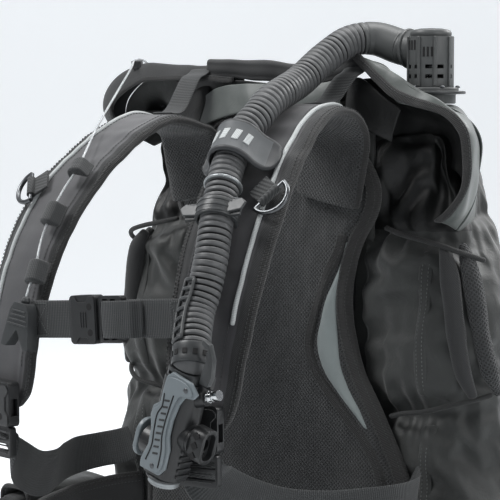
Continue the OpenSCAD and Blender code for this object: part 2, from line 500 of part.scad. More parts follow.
// ---- bungees and rear dump -------------------------------------------
module bungees() {
  color("#1b1c1d") for (s = [-1, 1]) {
    rope(spline([for (p = [[150, -118, 104], [190, -121, 98], [226, -117, 92], [256, -98, 80]]) [s*p[0], p[1], p[2]]], 3), 2.5, 8, [0, 0, 1]);
    rope(spline([for (p = [[160, -118, -88], [190, -121, -81], [226, -117, -74], [268, -98, -62]]) [s*p[0], p[1], p[2]]], 3), 2.5, 8, [0, 0, 1]);
  }
}
module rear_dump() {
  color("#26282a") translate([-160, lobe_y + 0.4, -230]) rotate([-90, 0, 0]) difference() {
    union() {
      cylinder(r = 26, h = 9, $fn = 64);
      cylinder(r = 20, h = 14, $fn = 64);
    }
    translate([0, 0, 2]) cylinder(r = 2.6, h = 20, $fn = 24);
  }
}
module rear_dump_ball() {
  color("#1b1c1d") translate([-160, lobe_y + 0.4, -230]) rotate([-90, 0, 0]) {
    translate([0, 0, 4]) cylinder(r = 1.5, h = 16, $fn = 24);
    translate([0, 0, 24]) sphere(r = 8, $fn = 32);
  }
}

air_cell();
bladder();
backplate();
plate_screws();
tank_pads();
back_pad();
shoulder_strap_left();
shoulder_strap_right();
load_lifter_left();
load_lifter_right();
sternum_web_left();
sternum_web_right();
sternum_socket();
sternum_plug();
shoulder_socket_left();
shoulder_socket_right();
shoulder_plug_left();
shoulder_plug_right();
lower_web_left();
lower_web_right();
d_ring_left();
d_ring_right();
d_ring_tabs();
hose_band();
hose_clip();
inflator_hose();
hose_elbow();
elbow_flange();
elbow_disc();
elbow_spring();
inflator_collar();
inflator_body();
inflator_cover();
hook_lever();
inflate_button();
inflate_spring();
deflate_button();
deflate_spring();
mouthpiece();
qd_nipple();
dump_cable();
cable_guides();
dump_knob();
dump_valve();
dump_plunger();
waist_wings();
waist_web_left();
waist_web_right();
waist_socket();
waist_plug();
weight_pocket_left();
weight_pocket_right();
weight_pouch_left();
weight_pouch_right();
tank_band();
cam_frame();
cam_lever();
bungees();
rear_dump();
rear_dump_ball();
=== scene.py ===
import bpy
import bmesh
import math
import numpy as np
from mathutils import Vector, Matrix


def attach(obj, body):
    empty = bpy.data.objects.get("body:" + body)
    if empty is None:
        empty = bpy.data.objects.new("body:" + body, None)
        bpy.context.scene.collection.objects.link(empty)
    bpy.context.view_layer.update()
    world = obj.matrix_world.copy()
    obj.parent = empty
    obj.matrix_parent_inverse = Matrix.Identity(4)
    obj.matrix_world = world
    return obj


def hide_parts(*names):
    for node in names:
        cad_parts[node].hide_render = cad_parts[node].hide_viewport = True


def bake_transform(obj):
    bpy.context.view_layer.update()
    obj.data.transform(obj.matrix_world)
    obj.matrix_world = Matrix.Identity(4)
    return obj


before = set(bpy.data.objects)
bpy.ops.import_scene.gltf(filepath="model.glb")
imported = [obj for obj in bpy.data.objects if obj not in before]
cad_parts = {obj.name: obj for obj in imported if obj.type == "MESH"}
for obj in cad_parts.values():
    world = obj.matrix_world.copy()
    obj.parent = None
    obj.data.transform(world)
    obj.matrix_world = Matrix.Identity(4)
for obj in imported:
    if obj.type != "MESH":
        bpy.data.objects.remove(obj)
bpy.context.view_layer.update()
SC = bpy.context.scene

# ------------------------------------------------------------------ camera, stage, light
TGT = Vector((0, -0.160, 0.080))
A, EL = math.radians(40), math.radians(4)
cam = bpy.data.cameras.new("cam")
cam.sensor_width = 36
cam.lens = 36 * 2200 / 535
cam.clip_end = 60
cam_o = bpy.data.objects.new("cam", cam)
SC.collection.objects.link(cam_o)
back = Vector((math.sin(A) * math.cos(EL), -math.cos(A) * math.cos(EL), math.sin(EL)))
cam_o.location = TGT + 2.2 * back
cam_o.rotation_euler = (-back).to_track_quat("-Z", "Y").to_euler()
SC.camera = cam_o
SC.view_settings.view_transform = "Standard"


def lin(c):
    return tuple(((x / 255) / 12.92 if x / 255 <= 0.04045 else ((x / 255 + 0.055) / 1.055) ** 2.4) for x in c) + (1,)


w = bpy.data.worlds.new("studio")
SC.world = w
w.use_nodes = True
w.node_tree.nodes["Background"].inputs[0].default_value = (0.92, 0.95, 1.0, 1)
w.node_tree.nodes["Background"].inputs[1].default_value = 0.28


def area(name, loc, size, watts, target=TGT, col=(1, 1, 1)):
    li = bpy.data.lights.new(name, "AREA")
    li.shape = "RECTANGLE"
    li.size, li.size_y = size
    li.energy = watts
    li.color = col
    o = bpy.data.objects.new(name, li)
    SC.collection.objects.link(o)
    o.location = loc
    o.rotation_euler = (Vector(loc) - target).to_track_quat("Z", "Y").to_euler()
    return o


area("key", (-0.95, -1.35, 1.95), (1.1, 0.9), 46)
area("top", (0.1, 0.2, 2.2), (1.4, 1.0), 34)
area("rim", (0.75, 1.35, 1.25), (1.0, 0.9), 30)
area("side", (1.9, -0.45, 0.75), (0.7, 1.2), 11)

# ------------------------------------------------------------------ nodes and materials


class Nodes:
    def __init__(self, name):
        self.m = bpy.data.materials.new(name)
        self.m.use_nodes = True
        self.t = self.m.node_tree
        self.b = self.t.nodes["Principled BSDF"]

    def n(self, kind, **kw):
        x = self.t.nodes.new("ShaderNode" + kind)
        for k, v in kw.items():
            if hasattr(x, k) and k not in x.inputs:
                setattr(x, k, v)
            else:
                x.inputs[k].default_value = v
        return x

    def link(self, a, b):
        self.t.links.new(a, b)

    def math(self, op, a, b=None, c=None):
        x = self.t.nodes.new("ShaderNodeMath")
        x.operation = op
        for i, v in enumerate((a, b, c)):
            if v is None:
                continue
            if isinstance(v, (int, float)):
                x.inputs[i].default_value = v
            else:
                self.link(v, x.inputs[i])
        return x.outputs[0]

    def noise(self, vec, scale, detail=2.0, rough=0.5, dist=0.0):
        x = self.n("TexNoise")
        x.inputs["Scale"].default_value = scale
        x.inputs["Detail"].default_value = detail
        x.inputs["Roughness"].default_value = rough
        x.inputs["Distortion"].default_value = dist
        self.link(vec, x.inputs["Vector"])
        return x.outputs["Fac"]

    def ramp(self, fac, stops):
        x = self.n("ValToRGB")
        e = x.color_ramp.elements
        while len(e) < len(stops):
            e.new(0.5)
        for i, (p, c) in enumerate(stops):
            e[i].position = p
            e[i].color = c if len(c) == 4 else (*c, 1)
        self.link(fac, x.inputs[0])
        return x.outputs[0]

    def maprange(self, v, a, b, c, d):
        x = self.n("MapRange")
        self.link(v, x.inputs[0])
        for i, q in enumerate((a, b, c, d)):
            x.inputs[i + 1].default_value = q
        return x.outputs[0]


def shade(c, k):
    return tuple(min(1, x * k) for x in c[:3]) + (1,)


def material(name, col, rough=0.6, kind="plain", var=0.25, pitch=1.6, bump=0.3, sheen=0.0, metal=0.0, coat=0.0, spec=0.5, wear=0.0, light=None, crease=0.0):
    """col: sRGB 0..255. kind: plain, weave, rib, mesh, braid, nylon. Lengths in mm."""
    g = Nodes(name)
    g.b.inputs["Metallic"].default_value = metal
    g.b.inputs["Specular IOR Level"].default_value = spec
    if sheen:
        g.b.inputs["Sheen Weight"].default_value = sheen
        g.b.inputs["Sheen Roughness"].default_value = 0.5
    if coat:
        g.b.inputs["Coat Weight"].default_value = coat
        g.b.inputs["Coat Roughness"].default_value = 0.25
    base = lin(col)
    tc = g.n("TexCoord")
    ob = tc.outputs["Object"]
    big = g.noise(ob, 16, 3, 0.55)
    fine = g.noise(ob, 900, 3, 0.6)
    mid = g.noise(ob, 120, 3, 0.6)
    h = None
    amp = 0.0004
    tone = g.math("ADD", g.math("MULTIPLY", big, 0.55), g.math("MULTIPLY", mid, 0.45))
    if kind in ("rib", "weave", "mesh", "braid"):
        at = g.n("Attribute")
        at.attribute_name = "st"
        sp = g.n("SeparateXYZ")
        g.link(at.outputs["Vector"], sp.inputs[0])
        u, v = sp.outputs[0], sp.outputs[1]
        k = 2 * math.pi / pitch
        if kind == "rib":
            a = g.math("SINE", g.math("MULTIPLY", v, k))
            b = g.math("SINE", g.math("MULTIPLY", u, k * 0.9))
            h = g.math("ADD", g.math("MULTIPLY", a, 0.42), g.math("MULTIPLY", b, 0.12))
            h = g.math("ADD", h, 0.5)
        elif kind == "weave":
            a = g.math("SINE", g.math("MULTIPLY", u, k))
            b = g.math("SINE", g.math("MULTIPLY", v, k))
            h = g.math("ADD", g.math("MULTIPLY", g.math("MULTIPLY", a, b), 0.5), 0.5)
        elif kind == "mesh":
            a = g.math("SINE", g.math("MULTIPLY", g.math("ADD", u, v), k))
            b = g.math("SINE", g.math("MULTIPLY", g.math("SUBTRACT", u, v), k))
            h = g.math("MAXIMUM", g.math("ABSOLUTE", a), g.math("ABSOLUTE", b))
            h = g.maprange(h, 0.55, 1.0, 0.0, 1.0)
        else:
            a = g.math("SINE", g.math("MULTIPLY", g.math("ADD", u, v), k))
            b = g.math("SINE", g.math("MULTIPLY", g.math("SUBTRACT", u, v), k))
            h = g.math("ADD", g.math("MULTIPLY", g.math("MAXIMUM", a, b), 0.5), 0.5)
        amp = 0.0005 if kind != "mesh" else 0.0011
        weave_height_and_shade = g.math("ADD", g.math("MULTIPLY", h, 0.8), g.math("MULTIPLY", fine, 0.3))
        # the colour follows the weave height too: valleys between threads and ribs and the mesh holes are painted
        # shade, the raised threads lighter; the fine noise in it is real grain
        tone = g.math("ADD", g.math("MULTIPLY", tone, 0.5), g.math("MULTIPLY", weave_height_and_shade, 0.5))
        height = weave_height_and_shade
    elif kind == "nylon":
        crease_and_highlight = g.noise(ob, 34, 4, 0.62, 0.6)
        crease_and_highlight = g.math("ABSOLUTE", g.math("SUBTRACT", crease_and_highlight, 0.5))
        crease_and_highlight = g.math("POWER", g.math("SUBTRACT", 1.0, g.math("MULTIPLY", crease_and_highlight, 3.2)), 6.0)
        height = g.math("ADD", g.math("MULTIPLY", crease_and_highlight, crease), g.math("MULTIPLY", fine, 0.10))
        height = g.math("ADD", height, g.math("MULTIPLY", g.noise(ob, 60, 3, 0.5), 0.35))
        amp = 0.0022
        # the crease lines also lift the base colour: a painted highlight along the creases, on top of their bump
        tone = g.math("ADD", g.math("MULTIPLY", tone, 0.8), g.math("MULTIPLY", crease_and_highlight, 0.12))
    else:
        height = g.math("ADD", g.math("MULTIPLY", fine, 0.5), g.math("MULTIPLY", mid, 0.3))
        amp = 0.00025
    lt = lin(light) if light else shade(base, 1 + var * 1.6)
    c = g.ramp(tone, [(0.22, shade(base, 1 - var)), (0.5, base), (0.82, lt)])
    if wear:
        ge = g.n("NewGeometry")
        pt = g.maprange(ge.outputs["Pointiness"], 0.50, 0.60, 0.0, wear)
        mx = g.n("Mix", data_type="RGBA")
        g.link(g.math("MULTIPLY", pt, g.maprange(mid, 0.35, 0.65, 0.3, 1.0)), mx.inputs[0])
        g.link(c, mx.inputs[6])
        mx.inputs[7].default_value = shade(base, 2.6)
        c = mx.outputs[2]
    g.link(c, g.b.inputs["Base Color"])
    r = g.maprange(g.math("ADD", g.math("MULTIPLY", big, 0.5), g.math("MULTIPLY", fine, 0.5)), 0.3, 0.7, max(0.04, rough - 0.09), min(1, rough + 0.09))
    g.link(r, g.b.inputs["Roughness"])
    bp = g.n("Bump")
    bp.inputs["Strength"].default_value = bump
    bp.inputs["Distance"].default_value = amp
    g.link(height, bp.inputs["Height"])
    g.link(bp.outputs[0], g.b.inputs["Normal"])
    return g.m


M = {}
M["cell"] = material("coated_nylon", (42, 44, 43), 0.58, "nylon", 0.16, bump=0.4, sheen=0.2, crease=0.2, light=(56, 59, 57))
M["cellpale"] = material("coated_nylon_pale", (78, 83, 81), 0.44, "nylon", 0.08, bump=0.3, sheen=0.15, crease=0.10)
# near-black copy of the coated nylon: painted shade, laid only in hollows and under or between other parts
M["celldark"] = material("painted_shade_nylon", (18, 19, 19), 0.55, "nylon", 0.2, bump=0.4, crease=0.2)
M["neoprene"] = material("neoprene", (52, 52, 55), 0.72, "plain", 0.16, bump=0.5, sheen=0.35)
M["padcloth"] = material("mottled_cordura", (36, 37, 38), 0.82, "weave", 0.42, pitch=1.9, bump=0.8, sheen=0.2)
M["binding"] = material("woven_binding", (34, 34, 34), 0.86, "rib", 0.5, pitch=1.7, bump=1.0, sheen=0.2)
M["webbing"] = material("ribbed_webbing", (42, 44, 45), 0.7, "rib", 0.4, pitch=2.3, bump=1.0, sheen=0.15)
M["webdark"] = material("ribbed_webbing_dark", (34, 35, 36), 0.72, "rib", 0.4, pitch=2.1, bump=1.0, sheen=0.15)
M["mesh"] = material("spacer_mesh", (27, 28, 29), 0.85, "mesh", 0.55, pitch=9.2, bump=1.0, sheen=0.2, light=(62, 64, 65))
M["leaf"] = material("leaf_fabric", (122, 130, 130), 0.62, "weave", 0.10, pitch=1.3, bump=0.5, sheen=0.2)
M["piping"] = material("piping", (176, 180, 180), 0.5, "rib", 0.14, pitch=1.6, bump=0.5)
M["rubber"] = material("hose_rubber", (78, 79, 80), 0.5, "plain", 0.22, bump=0.35, wear=0.25)
M["cuff"] = material("cuff_rubber", (74, 76, 76), 0.46, "plain", 0.12, bump=0.25)
M["keeper"] = material("keeper_rubber", (46, 48, 50), 0.5, "plain", 0.16, bump=0.4, wear=0.2)
M["keeperpale"] = material("keeper_panel", (80, 83, 85), 0.55, "plain", 0.1, bump=0.5)
M["plastic"] = material("moulded_black", (30, 31, 32), 0.38, "plain", 0.16, bump=0.25, wear=0.35)
M["plasticgrey"] = material("moulded_grey", (52, 54, 55), 0.42, "plain", 0.12, bump=0.25, wear=0.25)
M["cover"] = material("cover_plastic", (112, 120, 124), 0.4, "plain", 0.07, bump=0.3)
M["silver"] = material("satin_button", (150, 154, 156), 0.34, "plain", 0.08, bump=0.15, metal=0.55)
M["chrome"] = material("chrome", (205, 207, 208), 0.16, "plain", 0.05, bump=0.08, metal=1.0)
M["steel"] = material("dark_steel", (96, 98, 100), 0.3, "plain", 0.1, bump=0.15, metal=1.0)
M["cable"] = material("braided_steel", (178, 181, 183), 0.34, "braid", 0.35, pitch=1.9, bump=1.0, metal=0.75)
M["bungee"] = material("braided_cord", (26, 27, 27), 0.7, "braid", 0.45, pitch=2.4, bump=1.0, sheen=0.1)
M["thread"] = material("thread", (96, 99, 98), 0.7, "plain", 0.1, bump=0.2)
M["threaddk"] = material("thread_dark", (62, 64, 64), 0.7, "plain", 0.1, bump=0.2)
M["film"] = material("bladder_film", (190, 170, 96), 0.4, "plain", 0.1, bump=0.2)
# near-black: painted shade, used in slots, grooves, dimples and the gaps between the hose ribs
M["dark"] = material("painted_shade_black", (14, 14, 15), 0.8, "plain", 0.1, bump=0.1)
M["floor"] = material("backdrop", (246, 248, 250), 0.9, "plain", 0.01, bump=0.02)
gf = Nodes("backdrop_glow")
M["glow"] = gf.m
gf.b.inputs["Base Color"].default_value = (0.74, 0.76, 0.775, 1)
gf.b.inputs["Roughness"].default_value = 0.9
gf.b.inputs["Emission Color"].default_value = (0.95, 0.975, 1.0, 1)
tc_ = gf.n("TexCoord")
vm_ = gf.n("VectorMath", operation="DOT_PRODUCT")
gf.link(tc_.outputs["Object"], vm_.inputs[0])
vm_.inputs[1].default_value = (-math.sin(A), math.cos(A), 0)
mr_ = gf.n("MapRange")
gf.link(vm_.outputs["Value"], mr_.inputs[0])
for i_, v_ in enumerate((0.25, 1.0, 0.0, 0.42)):
    mr_.inputs[i_ + 1].default_value = v_
gf.link(mr_.outputs[0], gf.b.inputs["Emission Strength"])

# stage: floor that curves up behind
pts = []
for i in range(13):
    a = math.pi / 2 * i / 12
    pts.append((3.2 + 1.2 * math.sin(a), 1.2 * (1 - math.cos(a))))
prof = [(-7, 0), (3.2, 0)] + pts[1:] + [(4.4, 5.0)]
sv, sf = [], []
for (yy, zz) in prof:
    for xx in (-9, 9):
        sv.append((xx * math.cos(A) - yy * math.sin(A), xx * math.sin(A) + yy * math.cos(A), -0.344 + zz))
for i in range(len(prof) - 1):
    sf.append((2 * i, 2 * i + 1, 2 * i + 3, 2 * i + 2))
me = bpy.data.meshes.new("floor")
me.from_pydata(sv, [], sf)
me.materials.append(M["glow"])
me.polygons.foreach_set("use_smooth", [True] * len(sf))
fl = bpy.data.objects.new("floor", me)
SC.collection.objects.link(fl)

# ------------------------------------------------------------------ geometry helpers (millimetres)


def spline(P, n):
    P = np.array(P, float)
    m = len(P) - 1
    out = []
    for i in range(m):
        p0, p1, p2, p3 = P[max(i - 1, 0)], P[i], P[i + 1], P[min(i + 2, m)]
        for k in range(n):
            t = k / n
            out.append(0.5 * (2 * p1 + (p2 - p0) * t + (2 * p0 - 5 * p1 + 4 * p2 - p3) * t * t + (3 * p1 - p0 - 3 * p2 + p3) * t ** 3))
    out.append(P[m])
    return np.array(out)


def closed_spline(P, n):
    P = np.array(P, float)
    m = len(P)
    out = []
    for i in range(m):
        p0, p1, p2, p3 = P[i - 1], P[i], P[(i + 1) % m], P[(i + 2) % m]
        for k in range(n):
            t = k / n
            out.append(0.5 * (2 * p1 + (p2 - p0) * t + (2 * p0 - 5 * p1 + 4 * p2 - p3) * t * t + (3 * p1 - p0 - 3 * p2 + p3) * t ** 3))
    return np.array(out)


def arclen(P):
    return np.concatenate([[0], np.cumsum(np.linalg.norm(np.diff(P[:, :3], axis=0), axis=1))])


def resample(P, step=None, count=None):
    s = arclen(P)
    n = count or max(2, int(round(s[-1] / step)) + 1)
    q = np.linspace(0, s[-1], n)
    return np.stack([np.interp(q, s, P[:, k]) for k in range(P.shape[1])], 1)


def unit(v):
    v = np.asarray(v, float)
    n = np.linalg.norm(v, axis=-1, keepdims=True)
    return v / np.maximum(n, 1e-9)


def tangents(P):
    t = np.gradient(P[:, :3], axis=0)
    return unit(t)


def transport(P, ref):
    """Rotation-minimising u, v along a path."""
    t = tangents(P)
    u = np.zeros_like(t)
    r = np.array(ref, float)
    for i in range(len(P)):
        r = r - r.dot(t[i]) * t[i]
        r = r / np.linalg.norm(r)
        u[i] = r
    return t, u, np.cross(t, u)


def wav(P, scale, seed, k=7):
    """Smooth pseudo noise about -1..1: a sum of sines in seeded directions. scale is a wavelength in mm."""
    rs = np.random.RandomState(seed)
    P = np.asarray(P, float)
    o = np.zeros(P.shape[:-1])
    for i in range(k):
        d = rs.normal(size=3)
        d /= np.linalg.norm(d)
        f = 2 * math.pi / (scale * (0.6 + 0.9 * rs.rand()))
        o += np.sin(P @ d * f + rs.rand() * 6.28 + 0.8 * np.sin(P @ d[[1, 2, 0]] * f * 0.7))
    return o / math.sqrt(k) / 1.2


def sstep(x, a, b):
    t = np.clip((np.asarray(x, float) - a) / (b - a), 0, 1)
    return t * t * (3 - 2 * t)


def make(name, V, F, mats, mi=None, st=None, body="harness", rep=(), slot=None, smooth=True, sub=0, pad=None, flip=False, fix=True):
    me = bpy.data.meshes.new(name)
    me.from_pydata((np.asarray(V, float) * 0.001).tolist(), [], [tuple(int(x) for x in f) for f in F])
    for m in (mats if isinstance(mats, (list, tuple)) else [mats]):
        me.materials.append(m)
    if mi is not None:
        me.polygons.foreach_set("material_index", np.asarray(mi, dtype=np.int32))
    if st is not None:
        a = me.attributes.new("st", "FLOAT_VECTOR", "POINT")
        a.data.foreach_set("vector", np.asarray(st, dtype=np.float32).ravel())
    me.polygons.foreach_set("use_smooth", [smooth] * len(me.polygons))
    if fix:
        bm = bmesh.new()
        bm.from_mesh(me)
        bmesh.ops.recalc_face_normals(bm, faces=bm.faces)
        if flip:
            bmesh.ops.reverse_faces(bm, faces=bm.faces)
        bm.to_mesh(me)
        bm.free()
    me.update()
    o = bpy.data.objects.new(name, me)
    SC.collection.objects.link(o)
    if sub:
        s = o.modifiers.new("sub", "SUBSURF")
        s.levels = s.render_levels = sub
    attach(o, body)
    if rep:
        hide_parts(*rep)
    return o


def grid_faces(m, n, cu=False, cv=False, off=0):
    F = []
    for i in range(m if cu else m - 1):
        for j in range(n if cv else n - 1):
            a, b = i, (i + 1) % m
            c, d = j, (j + 1) % n
            F.append((off + a * n + c, off + b * n + c, off + b * n + d, off + a * n + d))
    return F


def loft(name, G, mats, ring_mi=None, st=None, caps=True, **kw):
    """Closed rings G[m, n, 3]."""
    m, n = G.shape[:2]
    F = grid_faces(m, n, cv=True)
    mi = None
    if ring_mi is not None:
        mi = [ring_mi[j] for i in range(m - 1) for j in range(n)]
    if caps:
        F = F + [tuple(range(n))[::-1], tuple((m - 1) * n + j for j in range(n))]
        if mi is not None:
            mi = mi + [ring_mi[0], ring_mi[0]]
    return make(name, G.reshape(-1, 3), F, mats, mi=mi, st=None if st is None else st.reshape(-1, 3), **kw)


def tube(name, P, r, mat, n=12, ref=(0.3, 0.2, 1), step=None, round_ends=True, **kw):
    P = np.array(P, float)
    if step:
        P = resample(P, step)
    t, u, v = transport(P, ref)
    r = np.full(len(P), float(r)) if np.isscalar(r) else np.asarray(r, float)
    a = np.linspace(0, 2 * math.pi, n, endpoint=False)
    s = arclen(P)
    rows, sts = [], []
    idx = list(range(len(P)))
    C, R = [P[i] for i in idx], [r[i] for i in idx]
    if round_ends:
        C = [P[0] - t[0] * r[0] * 0.35] + C + [P[-1] + t[-1] * r[-1] * 0.35]
        R = [r[0] * 0.6] + R + [r[-1] * 0.6]
        idx = [0] + idx + [len(P) - 1]
    G = np.array([c[:3] + rr * (np.cos(a)[:, None] * u[i] + np.sin(a)[:, None] * v[i]) for c, rr, i in zip(C, R, idx)])
    st = np.array([[(rr * x, s[i], 0) for x in a] for rr, i in zip(R, idx)])
    return loft(name, G, mat, st=st, **kw)


def ribbon(name, P, W, T, U, mat, step=4.0, nx=9, edge=0.45, crown=0.0, wob=0.0, seed=1, **kw):
    """Flat strap: P path (m,3), W widths, T thickness, U width directions; rounded edges."""
    D = np.concatenate([np.array(P, float)[:, :3], np.array(W, float)[:, None], np.array(T, float)[:, None], np.array(U, float)], 1)
    D = resample(spline(D, 16), step)
    t = tangents(D)
    u = unit(D[:, 5:8] - (D[:, 5:8] * t).sum(1, keepdims=True) * t)
    v = np.cross(t, u)
    s = arclen(D)
    xs = np.linspace(-1, 1, nx)
    rows, st = [], []
    for i in range(len(D)):
        w, h = D[i, 3] / 2, D[i, 4] / 2
        c = D[i, :3]
        top = [(x * w, h * (1 if abs(x) < 0.999 else edge) + crown * (1 - x * x)) for x in xs]
        bot = [(x * w, -h * (1 if abs(x) < 0.999 else edge)) for x in xs[::-1]]
        ring = top + bot
        rows.append([c + a * u[i] + b * v[i] for a, b in ring])
        st.append([(a, s[i], 0) for a, b in ring])
    G = np.array(rows)
    if wob:
        G = G + wob * wav(G, 60, seed)[..., None] * v[:, None, :]
    return loft(name, G, mat, st=np.array(st), **kw)


_st = {"V": {}, "F": {}}


def stitches(key, P, N, gap=3.8, L=2.5, r=0.42, skip=0.0, body="harness"):
    """Adds one row of thread along P (mm) with normals N; joined by key into one piece."""
    P = np.array(P, float)
    s = arclen(P)
    n = int((s[-1] - skip) / gap)
    if n < 1:
        return
    V = _st["V"].setdefault(key, [])
    F = _st["F"].setdefault(key, [])
    q = (np.arange(n) + 0.5) * gap + skip / 2
    C = np.stack([np.interp(q, s, P[:, k]) for k in range(3)], 1)
    NN = unit(np.stack([np.interp(q, s, np.asarray(N)[:, k]) for k in range(3)], 1))
    T = unit(np.stack([np.interp(q + 0.6, s, P[:, k]) - np.interp(q - 0.6, s, P[:, k]) for k in range(3)], 1))
    B = unit(np.cross(T, NN))
    a = np.linspace(0, 2 * math.pi, 6, endpoint=False)
    for c, nn, t, b in zip(C, NN, T, B):
        o = len(V)
        for (d, k) in ((-0.5, 0.35), (-0.3, 1), (0.3, 1), (0.5, 0.35)):
            z = c + t * d * L + nn * (r * 0.55 * (1 if abs(d) < 0.4 else 0.2))
            for x in a:
                V.append(z + k * r * (math.cos(x) * b + math.sin(x) * nn))
        for i in range(3):
            for j in range(6):
                F.append((o + i * 6 + j, o + (i + 1) * 6 + j, o + (i + 1) * 6 + (j + 1) % 6, o + i * 6 + (j + 1) % 6))
        F.append(tuple(o + j for j in range(6))[::-1])
        F.append(tuple(o + 18 + j for j in range(6)))


def flush_stitches(key, mat, body="harness"):
    if key in _st["V"] and _st["V"][key]:
        make(key, _st["V"][key], _st["F"][key], mat, body=body, fix=True)


def bevelled(o, width=0.8, seg=2, ang=32):
    b = o.modifiers.new("bev", "BEVEL")
    b.width = width * 0.001
    b.segments = seg
    b.limit_method = "ANGLE"
    b.angle_limit = math.radians(ang)
    b.harden_normals = True
    b.use_clamp_overlap = True


def hard(node, mat, body, width=0.8, seg=2, name=None, split=None):
    """New piece with the CAD node's shape, softened edges."""
    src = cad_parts[node]
    bm = bmesh.new()
    bm.from_mesh(src.data)
    bmesh.ops.remove_doubles(bm, verts=bm.verts, dist=2e-6)
    bmesh.ops.dissolve_limit(bm, angle_limit=math.radians(1.0), verts=bm.verts, edges=bm.edges)
    me = bpy.data.meshes.new(name or node + "_m")
    bm.to_mesh(me)
    bm.free()
    me.materials.clear()
    me.materials.append(mat)
    a = me.attributes.new("st", "FLOAT_VECTOR", "POINT")
    co = np.zeros(len(me.vertices) * 3)
    me.vertices.foreach_get("co", co)
    a.data.foreach_set("vector", (co * 1000).astype(np.float32))
    me.polygons.foreach_set("use_smooth", [True] * len(me.polygons))
    me.polygons.foreach_set("material_index", [0] * len(me.polygons))
    o = bpy.data.objects.new(name or node + "_m", me)
    SC.collection.objects.link(o)
    o.matrix_world = src.matrix_world.copy()
    if width:
        bevelled(o, width, seg)
    if isinstance(body, tuple):
        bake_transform(o)
    else:
        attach(o, body)
    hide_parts(node)
    return o


def rot(ax, deg):
    return np.array(Matrix.Rotation(math.radians(deg), 3, ax))


def framed(origin, *rots):
    """OpenSCAD style placement: translate then rotates in order. Returns f(points)."""
    R = np.eye(3)
    for ax, d in rots:
        R = R @ rot(ax, d)
    o = np.array(origin, float)

    def f(p):
        return np.asarray(p, float) @ R.T + o
    f.R = R
    f.o = o
    return f


def solid(name, parts, mat, body="harness", bev=0.6, **kw):
    """parts: list of (V, F) closed meshes joined into one piece."""
    V, F = [], []
    for v, f in parts:
        o = len(V)
        V += [tuple(p) for p in v]
        F += [tuple(o + i for i in q) for q in f]
    ob = make(name, V, F, mat, body=body, st=V, **kw)
    if bev:
        bevelled(ob, bev)
    return ob


def box(f, x, y, z):
    """Box x=(a,b), y, z in frame f."""
    v = [f((a, b, c)) for a in x for b in y for c in z]
    return v, [(0, 1, 3, 2), (4, 6, 7, 5), (0, 4, 5, 1), (2, 3, 7, 6), (0, 2, 6, 4), (1, 5, 7, 3)]


def prism(f, poly, z0, z1, rnd=0):
    """Polygon (x, y) from z0 to z1 in frame f."""
    n = len(poly)
    v = [f((p[0], p[1], z0)) for p in poly] + [f((p[0], p[1], z1)) for p in poly]
    F = [tuple(range(n))[::-1], tuple(range(n, 2 * n))] + [(i, (i + 1) % n, n + (i + 1) % n, n + i) for i in range(n)]
    return v, F


def rrect(w, h, r, n=6, cx=0, cy=0):
    o = []
    for sx, sy, a0 in ((1, 1, 0), (-1, 1, 90), (-1, -1, 180), (1, -1, 270)):
        for k in range(n + 1):
            a = math.radians(a0 + 90 * k / n)
            o.append((cx + sx * (w / 2 - r) + r * math.cos(a), cy + sy * (h / 2 - r) + r * math.sin(a)))
    return o


def lathe(f, prof, n=40, axis="Z"):
    """prof: (r, z) open profile, first and last near the axis or closed by caps."""
    v, F = [], []
    for r, z in prof:
        for k in range(n):
            a = 2 * math.pi * k / n
            p = (r * math.cos(a), r * math.sin(a), z)
            if axis == "Y":
                p = (p[0], p[2], -p[1])
            elif axis == "X":
                p = (p[2], p[0], p[1])
            v.append(f(p))
    m = len(prof)
    for i in range(m - 1):
        for k in range(n):
            F.append((i * n + k, (i + 1) * n + k, (i + 1) * n + (k + 1) % n, i * n + (k + 1) % n))
    F += [tuple(range(n))[::-1], tuple((m - 1) * n + k for k in range(n))]
    return v, F

# ------------------------------------------------------------------ routes shared with the CAD model (mm)
STRAP = [[88, -139, 132, 84, 10, 1, 0], [95, -141, 172, 88, 12, 1, 0.02], [100, -148, 204, 90, 14, 0.99, 0.1],
         [104, -170, 223, 92, 14, 0.98, 0.17], [106, -205, 228, 92, 14, 0.98, 0.17], [111, -245, 212, 96, 14, 0.98, 0.17],
         [118, -290, 175, 102, 14, 0.98, 0.17], [126, -330, 125, 103, 14, 0.98, 0.17], [131, -362, 65, 98, 14, 0.98, 0.17],
         [132, -380, 5, 90, 14, 0.98, 0.17], [132, -386, -40, 80, 14, 0.98, 0.17], [133, -386, -62, 64, 14, 0.98, 0.17],
         [133, -386, -76, 34, 14, 0.98, 0.17]]
HOSE = [[156.8, -92, 293], [145, -92, 296], [121, -101, 304], [106, -125, 301], [99, -158, 283], [98, -200, 258], [104, -250, 240],
        [106, -274, 224], [107, -300, 205], [114, -329, 175], [120, -343, 157], [126, -356, 139], [133, -370, 116], [139, -383, 89],
        [141, -395, 61], [142, -405, 42], [147, -415, 26], [153, -424, 12], [156.8, -430, 0], [155, -430.5, -6.5]]
CABLE = [[-215, -60, 244], [-215, -72, 268], [-213, -94, 285], [-211, -114, 286], [-202, -130, 276], [-170, -188, 247],
         [-132, -256, 213], [-108, -298, 188], [-94, -325, 170], [-95, -344, 149], [-98, -360, 124], [-96, -377, 96],
         [-92, -390, 66], [-88.5, -403, 48], [-87, -409, 33]]
LIFT = [[108, -123, 266], [108, -133, 262], [107, -146, 250], [106, -158, 238], [105, -170, 233.5]]
OUT_L = [[20, 258], [60, 272], [95, 276], [130, 272], [155, 262], [172, 243], [200, 242], [232, 234], [244, 215], [226, 190],
         [214, 165], [214, 110], [224, 50], [235, 0], [246, -60], [254, -120], [266, -175], [254, -220], [234, -262],
         [190, -302], [116, -330], [40, -336]]


def lowered(P):
    return [[c[0], c[1], c[2] - 10 * max(0, min(1, (c[2] - 130) / 80)) * max(0, min(1, (-c[1] - 145) / 25))] + list(c[3:]) for c in P]


